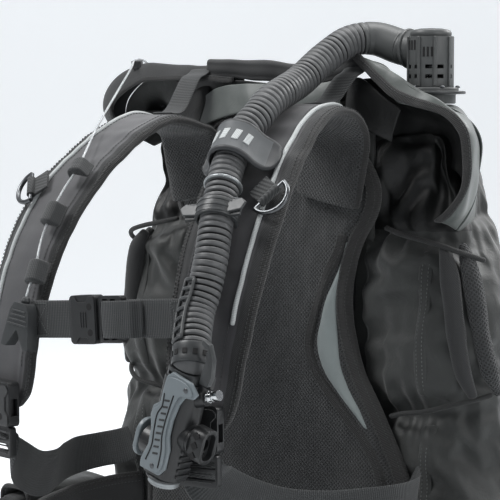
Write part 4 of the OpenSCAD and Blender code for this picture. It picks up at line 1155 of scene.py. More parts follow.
def shoulder_strap(s):
    P = STRAP if s > 0 else lowered([[-c[0], c[1], c[2], c[3], c[4], c[5], -c[6]] for c in STRAP])
    D = resample(spline(np.array(P, float), 16), 5.0)
    t = tangents(D)
    u0 = np.column_stack([D[:, 5], D[:, 6], np.zeros(len(D))])
    u = unit(u0 - (u0 * t).sum(1, keepdims=True) * t)
    v = np.cross(t, u)
    S = arclen(D)
    L = S[-1]
    G, ST, MI = [], [], None
    pos = UPOS
    for i in range(len(D)):
        w, h = D[i, 3] / 2, D[i, 4] / 2
        tip = sstep(L - S[i], 0, 14)
        h = h * (0.45 + 0.55 * tip)
        top, bot, q = [], [], []
        for x in pos:
            xx = x if s > 0 else x
            k = strap_h(x, w, s)
            top.append(D[i, :3] + u[i] * x * w + v[i] * (k * h))
            q.append((x * w, S[i], 0))
        for x in pos[::-1]:
            e = abs(x)
            k = (0.9 - 0.3 * e ** 4) if e < 0.9 else 0.55 * math.sqrt(max(0, 1 - ((e - 0.9) / 0.1) ** 2))
            bot.append(D[i, :3] + u[i] * x * w * 0.998 - v[i] * (max(0.12, k) * h))
            q.append((x * w, S[i], 0))
        G.append(top + bot)
        ST.append(q)
    G, ST = np.array(G), np.array(ST)
    # soft dents and cross wrinkles where it bends over the shoulder
    bend = np.exp(-((S - 190) / 70) ** 2)[:, None]
    soft = 0.9 * wav(G, 75, 61 + s) + 0.45 * wav(G, 26, 62)
    wr = 0.9 * bend * np.maximum(0, wav(np.stack([G[..., 0] * 0.35, G[..., 1], G[..., 2]], -1), 24, 66))
    G = G + (soft + wr)[..., None] * v[:, None, :]
    # zones: 0 neoprene, 1 mottled cloth, 2 binding, 3 underside
    n = len(pos)
    mi = []
    for j in range(2 * n):
        x = (pos[j] + pos[(j + 1) % n]) / 2 if j < n - 1 else None
        if j < n - 1:
            e = abs(x)
            if e > 0.86:
                mi.append(2)
            elif x * s > 0.66 if False else x > 0.66:
                mi.append(1)
            elif x < -0.68:
                mi.append(1)
            else:
                mi.append(0)
        else:
            jj = j - n
            if jj < 0 or jj >= n - 1:
                mi.append(2)
            else:
                x = -(pos[jj] + pos[jj + 1]) / 2
                mi.append(2 if abs(x) > 0.88 else 3)
    if s < 0:
        # the outer zone lies on the wearer's right edge
        top = mi[:n - 1]
        mi[:n - 1] = top[::-1]
    side = "left" if s > 0 else "right"
    o = loft(f"shoulder_strap_{side}_pad", G, [M["neoprene"], M["padcloth"], M["binding"], M["mesh"]], ring_mi=mi, st=ST, sub=1,
             slot="strap_fabric", rep=(f"shoulder_strap_{side}",))
    # piping
    top = G[:, :n]

    def at(x):
        return np.array([[np.interp(x, pos, top[i, :, k]) for k in range(3)] for i in range(len(top))])
    a, b = (0.58, 0.58) if s > 0 else (-0.58, -0.58)
    i0, i1 = (int(0.22 * len(D)), int(0.80 * len(D))) if s > 0 else (int(0.20 * len(D)), int(0.90 * len(D)))
    pp = at(a) + v * 0.6
    if s > 0:
        # piping drifts outwards over the shoulder
        pp = np.array([[np.interp(0.58 + 0.10 * sstep(-S[i], -200, -120), pos, top[i, :, k]) for k in range(3)] for i in range(len(top))]) + v * 0.6
    tube(f"piping_{side}", pp[i0:i1], 2.5, M["piping"], n=12, sub=1, slot="strap_fabric")
    for x in (-0.955, -0.875, 0.875, 0.955):
        stitches("strap_stitches", (at(x) + v * 0.35)[2:-3], v[2:-3], gap=4.2, L=2.7, r=0.45)
    for x in ((-0.64, 0.5) if s > 0 else (0.64, -0.5)):
        stitches("strap_stitches", (at(x) + v * 0.25)[4:-8], v[4:-8], gap=4.2, L=2.6, r=0.36)
    return D, t, u, v, S, at


SL = shoulder_strap(1)
SR = shoulder_strap(-1)


# ------------------------------------------------------------------ webbing
def lifter(s):
    P = np.array(LIFT, float)
    P[:, 2] += 2.6
    P = np.vstack([P, [105, -185, 236.0]])
    if s < 0:
        P[:, 2] -= 10 * np.clip((-P[:, 1] - 133) / 34, 0, 1)
    P[:, 0] *= s
    P = np.vstack([P[0] + [0, 8, 6], P])
    ribbon(f"load_lifter_{'left' if s > 0 else 'right'}_web", P, [30] * len(P), [2.6] * len(P), [(1, 0, 0)] * len(P), M["webbing"], step=3, nx=9,
           sub=1, slot="webbing", rep=(f"load_lifter_{'left' if s > 0 else 'right'}",), wob=0.3, seed=70)


lifter(1)
lifter(-1)

LW = [[133, -393.5, -97, 50], [134.5, -391, -110, 50], [140, -378, -128, 50], [152, -348, -146, 50], [170, -312, -160, 50], [190, -272, -166, 50],
      [212, -235, -165, 48], [226, -200, -162, 44], [222, -165, -159, 40], [206, -144, -155, 40], [194, -136, -150, 40]]
LU = [(.985, .174, 0)] * 2 + [(.9, .4, 0), (.8, .6, 0), (.7, .7, 0), (.6, .8, 0), (.3, .95, 0), (0, 1, 0), (-.4, .9, 0), (-.8, .6, 0), (-.9, .4, 0)]


def lower_web(s):
    P = np.array(LW, float)
    U = []
    for i, (p, q) in enumerate(zip(P, LU)):
        k = min(1, max(0, (i * 3 - 2) / 6))
        a = unit((1 - k) * np.array(q) + k * np.array([0, 0.25, 1.0]))
        U.append((s * a[0], a[1], a[2]) if s > 0 else (-a[0], a[1], a[2]))
    P[:, 0] *= s
    nm = "left" if s > 0 else "right"
    ribbon(f"lower_web_{nm}_web", P[:, :3], P[:, 3], [2.4] * len(P), U, M["webbing"], step=4, nx=9, sub=1, slot="webbing", rep=(f"lower_web_{nm}",), wob=0.5, seed=71)


lower_web(1)
lower_web(-1)

at_st = framed((15, -398, 26), ("Y", -4), ("X", 90))


def flatweb(name, f, x0, x1, wd, z0, mat, node, th=2.4, sag=0.0, box_x=None, body="harness"):
    xs_ = np.arange(x0, x1 + 0.1, 4.0)
    P = np.array([f((x, 0, z0 + th / 2 - sag * math.sin(math.pi * (x - x0) / (x1 - x0)))) for x in xs_])
    U = np.tile(f.R @ np.array([0, 1.0, 0]), (len(P), 1))
    ribbon(name, P, [wd] * len(P), [th] * len(P), -U, mat, step=3, nx=11, sub=1, slot="webbing", rep=(node,), wob=0.22, seed=73, body=body)
    if box_x:
        a, b = box_x
        zt = z0 + th + 0.05
        n_ = f.R @ np.array([0, 0, 1.0])
        h = wd / 2 - 3
        for seg in (((a, -h), (b, -h)), ((b, -h), (b, h)), ((b, h), (a, h)), ((a, h), (a, -h)), ((a, -h), (b, h)), ((a, h), (b, -h))):
            A_, B_ = (f((*seg[0], zt)), f((*seg[1], zt)))
            stitches("web_stitches", np.linspace(A_, B_, 12), np.tile(n_, (12, 1)), gap=2.6, L=1.9, r=0.4, body=body)


flatweb("sternum_web_left_web", at_st, 3, 107, 38, 0.2, M["webbing"], "sternum_web_left", box_x=(90, 104))
flatweb("sternum_web_right_web", at_st, -106, -38, 38, 0.2, M["webbing"], "sternum_web_right", box_x=(-100, -78))
# webbing loop through the plug's ladder and its folded tail
for k, (x0, x1, z) in enumerate(((6, 33, 11.4),)):
    P = np.array([at_st((x, 0, z + 1.4 * math.sin((x - x0) / (x1 - x0) * math.pi))) for x in np.linspace(x0, x1 + 20, 12)])
    P[-1] = at_st((x1 + 22, 0, 4.2))
    P[-2] = at_st((x1 + 16, 0, 6.0))
    ribbon("sternum_tail", P, [37] * 12, [2.2] * 12, np.tile(-(at_st.R @ np.array([0, 1.0, 0])), (12, 1)), M["webbing"], step=3, sub=1, slot="webbing", wob=0.2, seed=75, body="sternum_plug")

# ------------------------------------------------------------------ waist
WING = [[195, -118, -240, 108, 12], [206, -136, -240, 106, 14], [218, -170, -240, 100, 14], [222, -215, -240, 92, 14],
        [214, -265, -240, 82, 14], [190, -312, -240, 70, 12], [165, -340, -240, 56, 10]]
WV = [-1.0, -0.97, -0.92, -0.86, -0.78, -0.6, -0.4, -0.2, 0, 0.2, 0.4, 0.6, 0.78, 0.86, 0.92, 0.97, 1.0]
for s in (1, -1):
    D = resample(spline(np.array(WING, float), 16), 5.0)
    t = tangents(D)
    G, ST = [], []
    S = arclen(D)
    L = S[-1]
    for i in range(len(D)):
        w, h = D[i, 3] / 2, D[i, 4] / 2
        w *= math.sqrt(max(0.05, 1 - max(0, (S[i] - (L - 26)) / 27) ** 2))
        vv = np.cross(t[i], [0, 0, 1.0])
        ring, q = [], []
        for x in WV:
            e = abs(x)
            k = (1.0 - 0.3 * e ** 3 - 0.3 * math.exp(-((e - 0.84) / 0.04) ** 2)) if e < 0.88 else 0.55 * math.sqrt(max(0.02, 1 - ((e - 0.88) / 0.12) ** 2))
            ring.append(D[i, :3] + np.array([0, 0, x * w]) + vv * k * h)
            q.append((x * w, S[i], 0))
        for x in WV[::-1]:
            e = abs(x)
            k = (0.9 - 0.3 * e ** 3) if e < 0.88 else 0.5 * math.sqrt(max(0.02, 1 - ((e - 0.88) / 0.12) ** 2))
            ring.append(D[i, :3] + np.array([0, 0, x * w * 0.995]) - vv * k * h)
            q.append((x * w, S[i], 0))
        G.append(ring)
        ST.append(q)
    G, ST = np.array(G), np.array(ST)
    if s < 0:
        G[..., 0] *= -1
    G = G + 0.7 * wav(G, 60, 81)[..., None] * np.array([1.0, 0, 0])
    n = len(WV)
    mi = [2 if (j >= n - 1 and j < n) or abs((WV[j] + WV[j + 1]) / 2) > 0.86 else 1 for j in range(n - 1)] + [2] + \
         [2 if abs((WV[j] + WV[j + 1]) / 2) > 0.86 else 3 for j in range(n - 1)] + [2]
    o = loft(f"waist_wing_{'left' if s > 0 else 'right'}", G, [M["neoprene"], M["padcloth"], M["binding"], M["mesh"]], ring_mi=mi, st=ST, sub=1,
             slot="strap_fabric", rep=("waist_wings",) if s > 0 else ())
    for x in (-0.93, 0.93, -0.8, 0.8):
        P = np.array([[np.interp(x, WV, G[i, :n, k]) for k in range(3)] for i in range(len(G))])
        vv = np.cross(t, [0, 0, 1.0]) * (1 if s > 0 else 1)
        if s < 0:
            vv = vv * [-1, 1, 1]
        stitches("waist_stitches", (P + vv * 0.3)[1:-4], vv[1:-4], gap=4.2, L=2.6, r=0.42)
WAISTW = [[200, -313.5], [188, -331], [175, -347], [160, -362], [140, -375], [118, -383], [95, -386], [70, -386], [45, -386]]
for s in (1, -1):
    P = [[s * x, y, -240] for x, y in WAISTW + ([[10, -386]] if s > 0 else [])]
    nm = "left" if s > 0 else "right"
    ribbon(f"waist_web_{nm}_web", P, [50] * len(P), [2.4] * len(P), [(0, 0, 1)] * len(P), M["webbing"], step=4, nx=11, sub=1, slot="webbing", rep=(f"waist_web_{nm}",), wob=0.3, seed=83)

# ------------------------------------------------------------------ weight pockets and pouches
for s in (1, -1):
    nm = "left" if s > 0 else "right"
    f = framed((s * 236, -130, -246), ("Z", s * 4))
    out = rrect(45, 129, 11, 8, s * 23, -65 + 0)
    inn = rrect(37.5, 129, 7, 8, s * 23, -65)
    ncol = len(out)
    rows, st = [], []
    # outer sleeve from front mouth (y -125) to back, as rings of a rounded box in the XZ plane
    ring0 = rrect(46, 104, 12, 8)
    ys = np.concatenate([[-124, -125.5], np.arange(-124, -2, 6.0), [2, 4.5, 5]])
    G = []
    per = arclen(np.array([(a, b, 0) for a, b in ring0]))
    for i, y in enumerate(ys):
        if i == 0:
            k, kk = 0.90, 0.95
        elif i == 1:
            k, kk = 0.96, 0.98
        elif y <= 0:
            k = kk = 1.0
        else:
            k, kk = (0.93, 0.95) if y < 4 else ((0.72, 0.8) if y < 5 else (0.3, 0.4))
        sw = 1 + 0.05 * math.sin(math.pi * np.clip((y + 125) / 130, 0, 1))
        G.append([(s * 23 + a * k * sw, y, b * kk * (1 + 0.02 * (sw - 1) / 0.05)) for a, b in ring0])
    # turn the mouth inwards
    inner = [[(s * 23 + a * 0.84, y, b * 0.93) for a, b in ring0] for y in (-124.5, -110, -80, -20, -6)]
    G = np.array(inner[::-1] + G)
    G = G + (1.5 * wav(G, 48, 91 + s) + 0.8 * wav(G, 22, 92))[..., None] * unit(G * [1, 0, 1] - np.array([s * 23, 0, 0])) * sstep(G[..., 1], -124, -110)[..., None]
    W_ = np.array([[f(p) for p in r] for r in G])
    st = np.array([[(per[j], r[j][1], 0) for j in range(len(ring0))] for r in G])
    o = loft(f"weight_pocket_{nm}_shell", W_, [M["cell"], M["padcloth"]], st=st, sub=1, slot="cell_fabric", rep=(f"weight_pocket_{nm}",))
    # binding round the mouth
    P = np.array([f((s * 23 + a * 0.985, -125.0, b * 0.99)) for a, b in ring0 + ring0[:1]])
    tube(f"pocket_binding_{nm}", P, 2.6, M["binding"], n=10, ref=(0, 1, 0), round_ends=False, slot="strap_fabric")
    # pouch: soft block with a handle and a front patch; slides forwards
    b_ = f"weight_pouch_{nm}"
    ring1 = rrect(31, 85, 8, 8)
    ys = np.concatenate([[-136], np.arange(-134, -14, 6.0), [-10, -8]])
    G = []
    for i, y in enumerate(ys):
        k = 0.86 if y == -136 or y == -8 else (0.96 if y <= -133 or y > -12 else 1)
        G.append([(s * 23 + a * k, y, b * k) for a, b in ring1])
    G = np.array(G)
    G[..., 0] += 0.4 * wav(G, 30, 95)
    W_ = np.array([[f(p) for p in r] for r in G])
    per1 = arclen(np.array([(a, b, 0) for a, b in ring1]))
    st = np.array([[(per1[j], r[j][1], 0) for j in range(len(ring1))] for r in G])
    o = loft(f"weight_pouch_{nm}_body", W_, M["padcloth"], st=st, sub=1, slot="cell_fabric", body=b_, rep=(b_,))
    H = [(-136, -30), (-148, -29), (-155, -24), (-157, -14), (-157, 0), (-157, 14), (-155, 24), (-148, 29), (-136, 30)]
    P = np.array([f((s * 23, y, z)) for y, z in H])
    D = resample(spline(P, 6), 3.0)
    ux = f.R @ np.array([1.0, 0, 0])
    ribbon(f"pouch_handle_{nm}", D, [20] * len(D), [4.4] * len(D), [ux] * len(D), M["webbing"], step=3, sub=1, slot="webbing", body=b_)
    V, F = prism(framed(tuple(f((s * 23, -136.2, 0))), ("Z", s * 4), ("X", 90)), rrect(29, 78, 5), 0, 1.6)
    solid(f"pouch_patch_{nm}", [(V, F)], M["webdark"], body=b_, slot="webbing", bev=0.5)

# ------------------------------------------------------------------ tank band: webbing loop with pads, cam buckle
a0 = math.asin(58.7 / 93.5)
P = []
for a in np.linspace(-a0 - math.pi / 2 + 0, 1.5 * math.pi - (math.pi - (math.pi / 2 - 0)) + 0, 2):
    pass
arc = [(93.5 * math.sin(t_), -93.5 * math.cos(t_) * 1.0) for t_ in np.linspace(a0, 2 * math.pi - a0, 90)]
loop = [(58.7, -104.5), (58.7, -90)] + arc[1:-1] + [(-58.7, -90), (-58.7, -104.5), (-55, -107), (-20, -107), (20, -107), (55, -107), (58.7, -104.5)]
P = resample(np.array([(x, y, 0) for x, y in loop], float), 3.0)
U = [(0, 0, 1)] * len(P)
D = np.concatenate([P, np.full((len(P), 1), 50.0), np.full((len(P), 1), 2.6)], 1)
t = tangents(P)
xs2 = np.linspace(-1, 1, 9)
rows, st = [], []
s_ = arclen(P)
for i in range(len(P)):
    nv = np.cross(t[i], [0, 0, 1.0])
    ring = [P[i] + np.array([0, 0, x * 25]) + nv * (1.3 if abs(x) < 1 else 0.6) for x in xs2] + [P[i] + np.array([0, 0, x * 25]) - nv * (1.3 if abs(x) < 1 else 0.6) for x in xs2[::-1]]
    rows.append(ring)
    st.append([(x * 25, s_[i], 0) for x in list(xs2) + list(xs2[::-1])])
loft("tank_band_web", np.array(rows), M["webbing"], st=np.array(st), sub=0, slot="webbing", rep=("tank_band",))

# ------------------------------------------------------------------ inflator hose
HP = resample(spline(np.array(HOSE, float), 24), 0.8)
t, u, v = transport(HP, (0.6, -0.5, 0.6))
S = arclen(HP)
L = S[-1]
PITCH = 6.3
ph = (S / PITCH) % 1.0
top = sstep(np.abs(ph - 0.5), 0.43, 0.31)                  # flat-topped rib, narrow gap
fade = sstep(S, 44, 64) * sstep(-S, -(L - 12), -(L - 17))
rib = 13.3 + 3.2 * top
cuff = 18.6 - 1.6 * sstep(S, 10, 60) - 0.9 * np.exp(-((S - 3.5) / 1.1) ** 2)
rad = cuff * (1 - fade) + rib * fade
rad = np.where(S > L - 17, np.maximum(rad, 15.6), rad)
rad = np.where(S < 1.0, 17.6, rad)
a = np.linspace(0, 2 * math.pi, 40, endpoint=False)
G = HP[:, None, :3] + rad[:, None, None] * (np.cos(a)[None, :, None] * u[:, None, :] + np.sin(a)[None, :, None] * v[:, None, :])
st = np.stack([np.broadcast_to(a * 16, G.shape[:2]), np.broadcast_to(S[:, None], G.shape[:2]), np.zeros(G.shape[:2])], -1)
# faces in the gaps between the ribs take the near-black material: painted shade in the grooves
mi = []
for i in range(len(HP) - 1):
    mi += [2 if (fade[i] > 0.6 and 0.5 * (top[i] + top[i + 1]) < 0.42) else (1 if S[i] < 58 else 0)] * 40
F = grid_faces(len(HP), 40, cv=True) + [tuple(range(40))[::-1], tuple((len(HP) - 1) * 40 + j for j in range(40))]
make("inflator_hose_tube", G.reshape(-1, 3), F, [M["rubber"], M["cuff"], M["dark"]], mi=mi + [1, 0], st=st.reshape(-1, 3), slot="hose_rubber", rep=("inflator_hose",))


def hose_at(s):
    c = np.array([np.interp(s, S, HP[:, k]) for k in range(3)])
    tt = unit(np.array([np.interp(s + 1, S, HP[:, k]) - np.interp(s - 1, S, HP[:, k]) for k in range(3)]))
    return c, tt


# ------------------------------------------------------------------ keeper band over the hose
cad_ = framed((110.8, -313.5, 191.5), ("Z", 6), ("X", 46), ("Z", 7))
arch = spline(np.array([(-43, -16.5), (-38, -15.6), (-30, -11), (-23.5, -2), (-20.5, 7), (-15, 15.6), (-7, 20.6), (0, 22), (7, 20.6), (15, 15.6), (20.5, 7), (23.5, -2), (30, -11), (38, -15.6), (43, -16.5)], float), 6)
T2 = np.gradient(arch, axis=0)
T2 = T2 / np.linalg.norm(T2, axis=1, keepdims=True)
N2 = np.column_stack([-T2[:, 1], T2[:, 0]])
sa = np.concatenate([[0], np.cumsum(np.linalg.norm(np.diff(arch, axis=0), axis=1))])
La = sa[-1]
ys = [-1, -0.97, -0.9, -0.82, -0.5, -0.2, 0.2, 0.5, 0.82, 0.9, 0.97, 1]
rows, st, mi = [], [], []
for i in range(len(arch)):
    e = min(sa[i], La - sa[i])
    hl = 20.5 * math.sqrt(max(0.05, 1 - (max(0, 16 - e) / 16.5) ** 2))
    top_, bot_, q_ = [], [], []
    for y in ys:
        k = 1.4 if abs(y) < 0.93 else (1.0 if abs(y) < 1 else 0.2)
        k += 1.0 if (0.80 < abs(y) < 0.93) else 0
        top_.append(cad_((arch[i][0] + N2[i][0] * k, y * hl, arch[i][1] + N2[i][1] * k)))
        q_.append((sa[i], y * hl, 0))
    for y in ys[::-1]:
        bot_.append(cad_((arch[i][0] - N2[i][0] * 1.1, y * hl * 0.995, arch[i][1] - N2[i][1] * 1.1)))
    rows.append(top_ + bot_)
    st.append(q_ + q_[::-1])
G = np.array(rows)
n = G.shape[1]
mi = []
for i in range(len(arch) - 1):
    for j in range(n):
        pale = 2 < j < 8 and 14 < sa[i] < La - 14
        mi.append(1 if pale else 0)
F = grid_faces(len(arch), n, cv=True) + [tuple(range(n))[::-1], tuple((len(arch) - 1) * n + j for j in range(n))]
make("keeper_band", G.reshape(-1, 3), F, [M["keeper"], M["keeperpale"]], mi=mi + [0, 0], st=np.array(st).reshape(-1, 3), sub=1, slot="keeper_rubber", rep=("hose_band",))
# plain raised bars where the real band has its lettering
parts = []
for k in range(5):
    c0 = La * (0.30 + 0.095 * k)
    bar = []
    for (ds, dy, lift) in [(a_, b_, c_) for a_ in (-3.2, 3.2) for b_ in (-6.5, 6.5) for c_ in (0.8, 2.3)]:
        i_ = np.interp(c0 + ds + dy * 0.18, sa, np.arange(len(sa)))
        ii = int(min(len(sa) - 2, i_))
        fr = i_ - ii
        p2 = arch[ii] * (1 - fr) + arch[ii + 1] * fr
        n2 = N2[ii] * (1 - fr) + N2[ii + 1] * fr
        bar.append(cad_((p2[0] + n2[0] * lift, dy, p2[1] + n2[1] * lift)))
    parts.append((bar, [(0, 1, 3, 2), (4, 6, 7, 5), (0, 4, 5, 1), (2, 3, 7, 6), (0, 2, 6, 4), (1, 5, 7, 3)]))
solid("keeper_bars", parts, M["piping"], bev=0.7, slot="keeper_rubber")

# ------------------------------------------------------------------ snap clip lower on the hose
hard("hose_clip", M["plasticgrey"], "harness", 1.1, 3)
fc = framed((128.5, -361, 131), ("Z", 8), ("X", 57), ("Z", 9))
parts = []
for yy in (-6, 0, 6):
    ring = [(math.sin(b) * 21.6, math.cos(b) * 21.6) for b in np.linspace(-1.7, 1.7, 24)]
    inn = [(math.sin(b) * 20.4, math.cos(b) * 20.4) for b in np.linspace(1.7, -1.7, 24)]
    poly = ring + inn
    V = [fc((p[0], yy - 1.2, p[1])) for p in poly] + [fc((p[0], yy + 1.2, p[1])) for p in poly]
    m = len(poly)
    Fq = [(i, (i + 1) % m, m + (i + 1) % m, m + i) for i in range(m)]
    Fq += [(i, i + 1, 47 - i - 1, 47 - i) for i in range(23)] + [(m + i, m + 47 - i, m + 47 - i - 1, m + i + 1) for i in range(23)]
    parts.append((V, Fq))
solid("clip_ribs", parts, M["plasticgrey"], bev=0.4, slot="buckle")
parts = []
for sx in (-1, 1):
    parts.append(prism(fc, [(sx * 15, -7), (sx * 32, -5), (sx * 36, 3), (sx * 30, 8), (sx * 20, 5), (sx * 15, 8)][:: sx], 9.0, 12.0))
solid("clip_wings", parts, M["plasticgrey"], bev=1.2, slot="buckle")
# light ring on the hose just above the clip, and a short stay to the strap's piping
i_ = int(np.argmin(np.linalg.norm(HP[:, :3] - np.array([120, -343, 157]), axis=1)))
ringc, rt = HP[i_, :3], t[i_]
uu, vv = u[i_], v[i_]
P = np.array([ringc + 17.6 * (math.cos(b) * uu + math.sin(b) * vv) for b in np.linspace(0, 2 * math.pi, 60)])
tube("hose_ring", P, 1.7, M["silver"], n=12, ref=tuple(rt), round_ends=False, slot="keeper_rubber")
P = spline(np.array([(130, -353, 146), (135, -352, 146), (140, -350, 145), (144, -346, 144)], float), 6)
tube("hose_stay", P, 2.2, M["keeperpale"], n=12, slot="keeper_rubber")

# ------------------------------------------------------------------ elbow
hard("hose_elbow", M["cuff"], "harness", 1.6, 4)
hard("elbow_flange", M["cuff"], "harness", 1.8, 4)
hard("elbow_disc", M["plasticgrey"], "elbow_disc", 0.5)
hard("elbow_spring", M["chrome"], ("harness", "elbow_disc", (0.186, -0.092, 0.2785), (0.186, -0.092, 0.2585)), 0)
fe = framed((186, -92, 0))
parts = []
# domed crown of the housing
parts.append(lathe(fe, [(20.2, 304), (21.5, 306.5), (21.5, 309), (20, 311.5), (12, 313.2), (0.4, 313.8)], 56))
solid("elbow_crown", parts, M["cuff"], bev=0.5, slot="valve_plastic")
# near-black boxes in the housing's slots: painted shade in the openings
parts = []
for a_ in (-118, -108, -98, -72, -62, -52):
    r_ = math.radians(a_)
    f2 = framed((186 + 24.0 * math.cos(r_), -92 + 24.0 * math.sin(r_), 296 if a_ < -90 else 289), ("Z", a_))
    parts.append(box(f2, (-1.2, 0.45), (-1.1, 1.1), (-5, 5)))
solid("elbow_slots", parts, M["dark"], bev=0.2, slot="valve_plastic")
parts = []
for a_ in (-125, -85, -45, -5):
    r_ = math.radians(a_)
    f2 = framed((186 + 24.2 * math.cos(r_), -92 + 24.2 * math.sin(r_), 279), ("Z", a_))
    parts.append(box(f2, (-1, 1.6), (-1.6, 1.6), (-25, 26)))
solid("elbow_ribs", parts, M["cuff"], bev=0.9, slot="valve_plastic")
# collar where the cuff meets the housing
f3 = framed((186, -92, 293), ("Y", -90))
parts = [lathe(f3, [(17.8, 24.5), (20.6, 24.8), (21.2, 26.5), (20.6, 28.6), (18.6, 29.4)], 56)]
solid("elbow_collar", parts, M["cuff"], bev=0.3, slot="valve_plastic")
# wing-shaped flange skirt and bolt heads
parts = []
wing_poly = [(-34, -10), (-26, -26), (-8, -33), (10, -33), (26, -27), (36, -12), (38, 2), (30, 20), (12, 30), (-12, 30), (-30, 20), (-36, 4)]
wp = closed_spline(np.array(wing_poly, float), 4)
parts.append(prism(framed((186, -92, 0)), [tuple(p) for p in wp], 245.8, 249.2))
solid("flange_skirt", parts, M["plasticgrey"], bev=1.2, slot="valve_plastic")
parts = []
for a_ in (-150, -90, -30, 30, 90, 150):
    r_ = math.radians(a_)
    parts.append(lathe(framed((186 + 28 * math.cos(r_), -92 + 28 * math.sin(r_), 0)), [(0.3, 252.2), (2.4, 252.2), (2.6, 253.6), (1.8, 254.6), (0.3, 254.8)], 20))
solid("flange_bolts", parts, M["steel"], bev=0.2, slot="steel")
V, Fq = box(framed((152, -117, 266), ("Z", 20), ("Y", 20)), (-4.5, 4.5), (-0.8, 0.8), (-3.5, 3.5))
solid("elbow_tag", [(V, Fq)], M["piping"], bev=0.4, slot="strap_fabric")

# ------------------------------------------------------------------ inflator
fi = framed((151.5, -430.5, -18), ("Y", 17))
hard("inflator_collar", M["plasticgrey"], "harness", 1.0, 3)
hard("inflator_body", M["plastic"], "harness", 1.6, 4)
hard("inflator_cover", M["cover"], "harness", 1.2, 3)
hard("hook_lever", M["plasticgrey"], "hook_lever", 0.9, 3)
hard("inflate_button", M["cover"], "inflate_button", 1.4, 4)
hard("inflate_spring", M["chrome"], "inflate_button", 0.1, 1)
hard("deflate_button", M["silver"], "deflate_button", 1.6, 4)
hard("deflate_spring", M["chrome"], "deflate_button", 0.1, 1)
hard("mouthpiece", M["plastic"], "harness", 1.0, 3)
hard("qd_nipple", M["chrome"], "harness", 0.5, 3)
# ladder cuff climbing the hose from the collar
HL = L
parts = []
frames_ = []
for k in range(7):
    s0 = HL - 22 - k * 10.5
    c, tt = hose_at(s0)
    # left-front side of the hose as the wearer sees it
    side = unit(np.cross(tt, np.array([0.64, -0.77, 0.0])))
    frames_.append((c, tt, side))
railL, railR, rungs = [], [], []
for c, tt, side in frames_:
    nrm = unit(np.cross(side, tt))
    if nrm.dot(np.array([0.64, -0.77, 0.07])) < 0:
        nrm = -nrm
    lf = unit(np.cross(tt, nrm))
    if lf.dot(np.array([0.766, 0.643, 0])) > 0:
        lf = -lf
    a1, a2 = math.radians(38), math.radians(88)
    railL.append(c + 18.6 * (math.cos(a2) * nrm + math.sin(a2) * lf))
    railR.append(c + 18.6 * (math.cos(a1) * nrm + math.sin(a1) * lf))
    rungs.append([c + 18.4 * (math.cos(b) * nrm + math.sin(b) * lf) for b in np.linspace(a1, a2, 7)])
tube("ladder_rail_a", resample(spline(np.array(railL), 6), 3), 1.9, M["plasticgrey"], n=10, slot="valve_plastic")
tube("ladder_rail_b", resample(spline(np.array(railR), 6), 3), 1.7, M["plasticgrey"], n=10, slot="valve_plastic")
for k, r_ in enumerate(rungs):
    tube(f"ladder_rung_{k}", np.array(r_), 1.9, M["plasticgrey"], n=10, slot="valve_plastic")
# smooth ring with slots at the foot of the hose
c, tt = hose_at(HL - 9)
uu_ = unit(np.cross(tt, [0.3, 0.5, 0.2]))
vv_ = np.cross(tt, uu_)


def ffoot(p):
    p = np.asarray(p, float)
    return c + p[..., 0:1] * uu_ + p[..., 1:2] * vv_ + p[..., 2:3] * tt if p.ndim > 1 else c + p[0] * uu_ + p[1] * vv_ + p[2] * tt


solid("foot_ring", [lathe(ffoot, [(15.6, -11), (18.9, -10.5), (19.6, -8), (18.9, -3), (18.7, 3), (19.3, 6.5), (18.6, 8.6), (15.8, 9)], 56)], M["plasticgrey"], bev=0.3, slot="valve_plastic")
# near-black boxes in the ring's slots: painted shade in the openings
parts = []
for k in range(12):
    b = 2 * math.pi * k / 12
    o_ = ffoot((18.9 * math.cos(b), 18.9 * math.sin(b), -0.5))
    n_ = math.cos(b) * uu_ + math.sin(b) * vv_
    q_ = np.cross(tt, n_)
    V = [o_ + x * n_ + y * q_ + z * tt for x in (-1.2, 0.5) for y in (-2.3, 2.3) for z in (-2.6, 2.6)]
    parts.append((V, [(0, 1, 3, 2), (4, 6, 7, 5), (0, 4, 5, 1), (2, 3, 7, 6), (0, 2, 6, 4), (1, 5, 7, 3)]))
solid("foot_slots", parts, M["dark"], bev=0.25, slot="valve_plastic")
# details of the cover: raised rim, long curved groove, screws
fv = framed((151.5, -430.5, -18), ("Y", 17), ("X", 90))      # X right, Y up the body, Z outwards


def cover_prism(poly, z0, z1, n=3):
    q = closed_spline(np.array(poly, float), n)
    return prism(fv, [tuple(p) for p in q], z0, z1)


solid("cover_face", [cover_prism([(-5, 1), (6, 4.5), (20, 3), (27, -3), (24, -7), (14, -10), (9.5, -20), (7, -36), (7, -52), (11, -66), (11, -82), (6, -89), (-13, -89), (-14, -82), (-9.5, -68), (-10, -52), (-14, -40), (-13, -32), (-6, -24), (-6.5, -10)], 20.6, 22.4)],
      M["cover"], bev=0.8, slot="cover_plastic")
parts = []
for k in range(9):
    yc = -20 - k * 6.6
    xc = 0.8 - 1.6 * math.sin((k + 0.5) / 9 * math.pi)
    w_ = 3.1
    parts.append(prism(fv, [(xc - w_, yc - 1.1), (xc + w_, yc + 0.5), (xc + w_, yc + 2.5), (xc - w_, yc + 0.9)], 22.2, 22.9))
solid("cover_grip", parts, M["plastic"], bev=0.3, slot="cover_plastic")
# the grooves are near-black tubes: painted shade in the grooves
g_ = spline(np.array([(-4.6, -14), (-3.8, -26), (-7.5, -36), (-7.0, -52), (-5.6, -66), (-9, -82)], float), 6)
tube("cover_groove_a", fv(np.column_stack([g_, np.full(len(g_), 22.35)])), 0.75, M["dark"], n=8, slot="cover_plastic")
g_ = spline(np.array([(6.6, -12), (5.0, -26), (3.8, -40), (4.0, -54), (7.0, -68), (7.4, -84)], float), 6)
tube("cover_groove_b", fv(np.column_stack([g_, np.full(len(g_), 22.35)])), 0.75, M["dark"], n=8, slot="cover_plastic")
parts = []
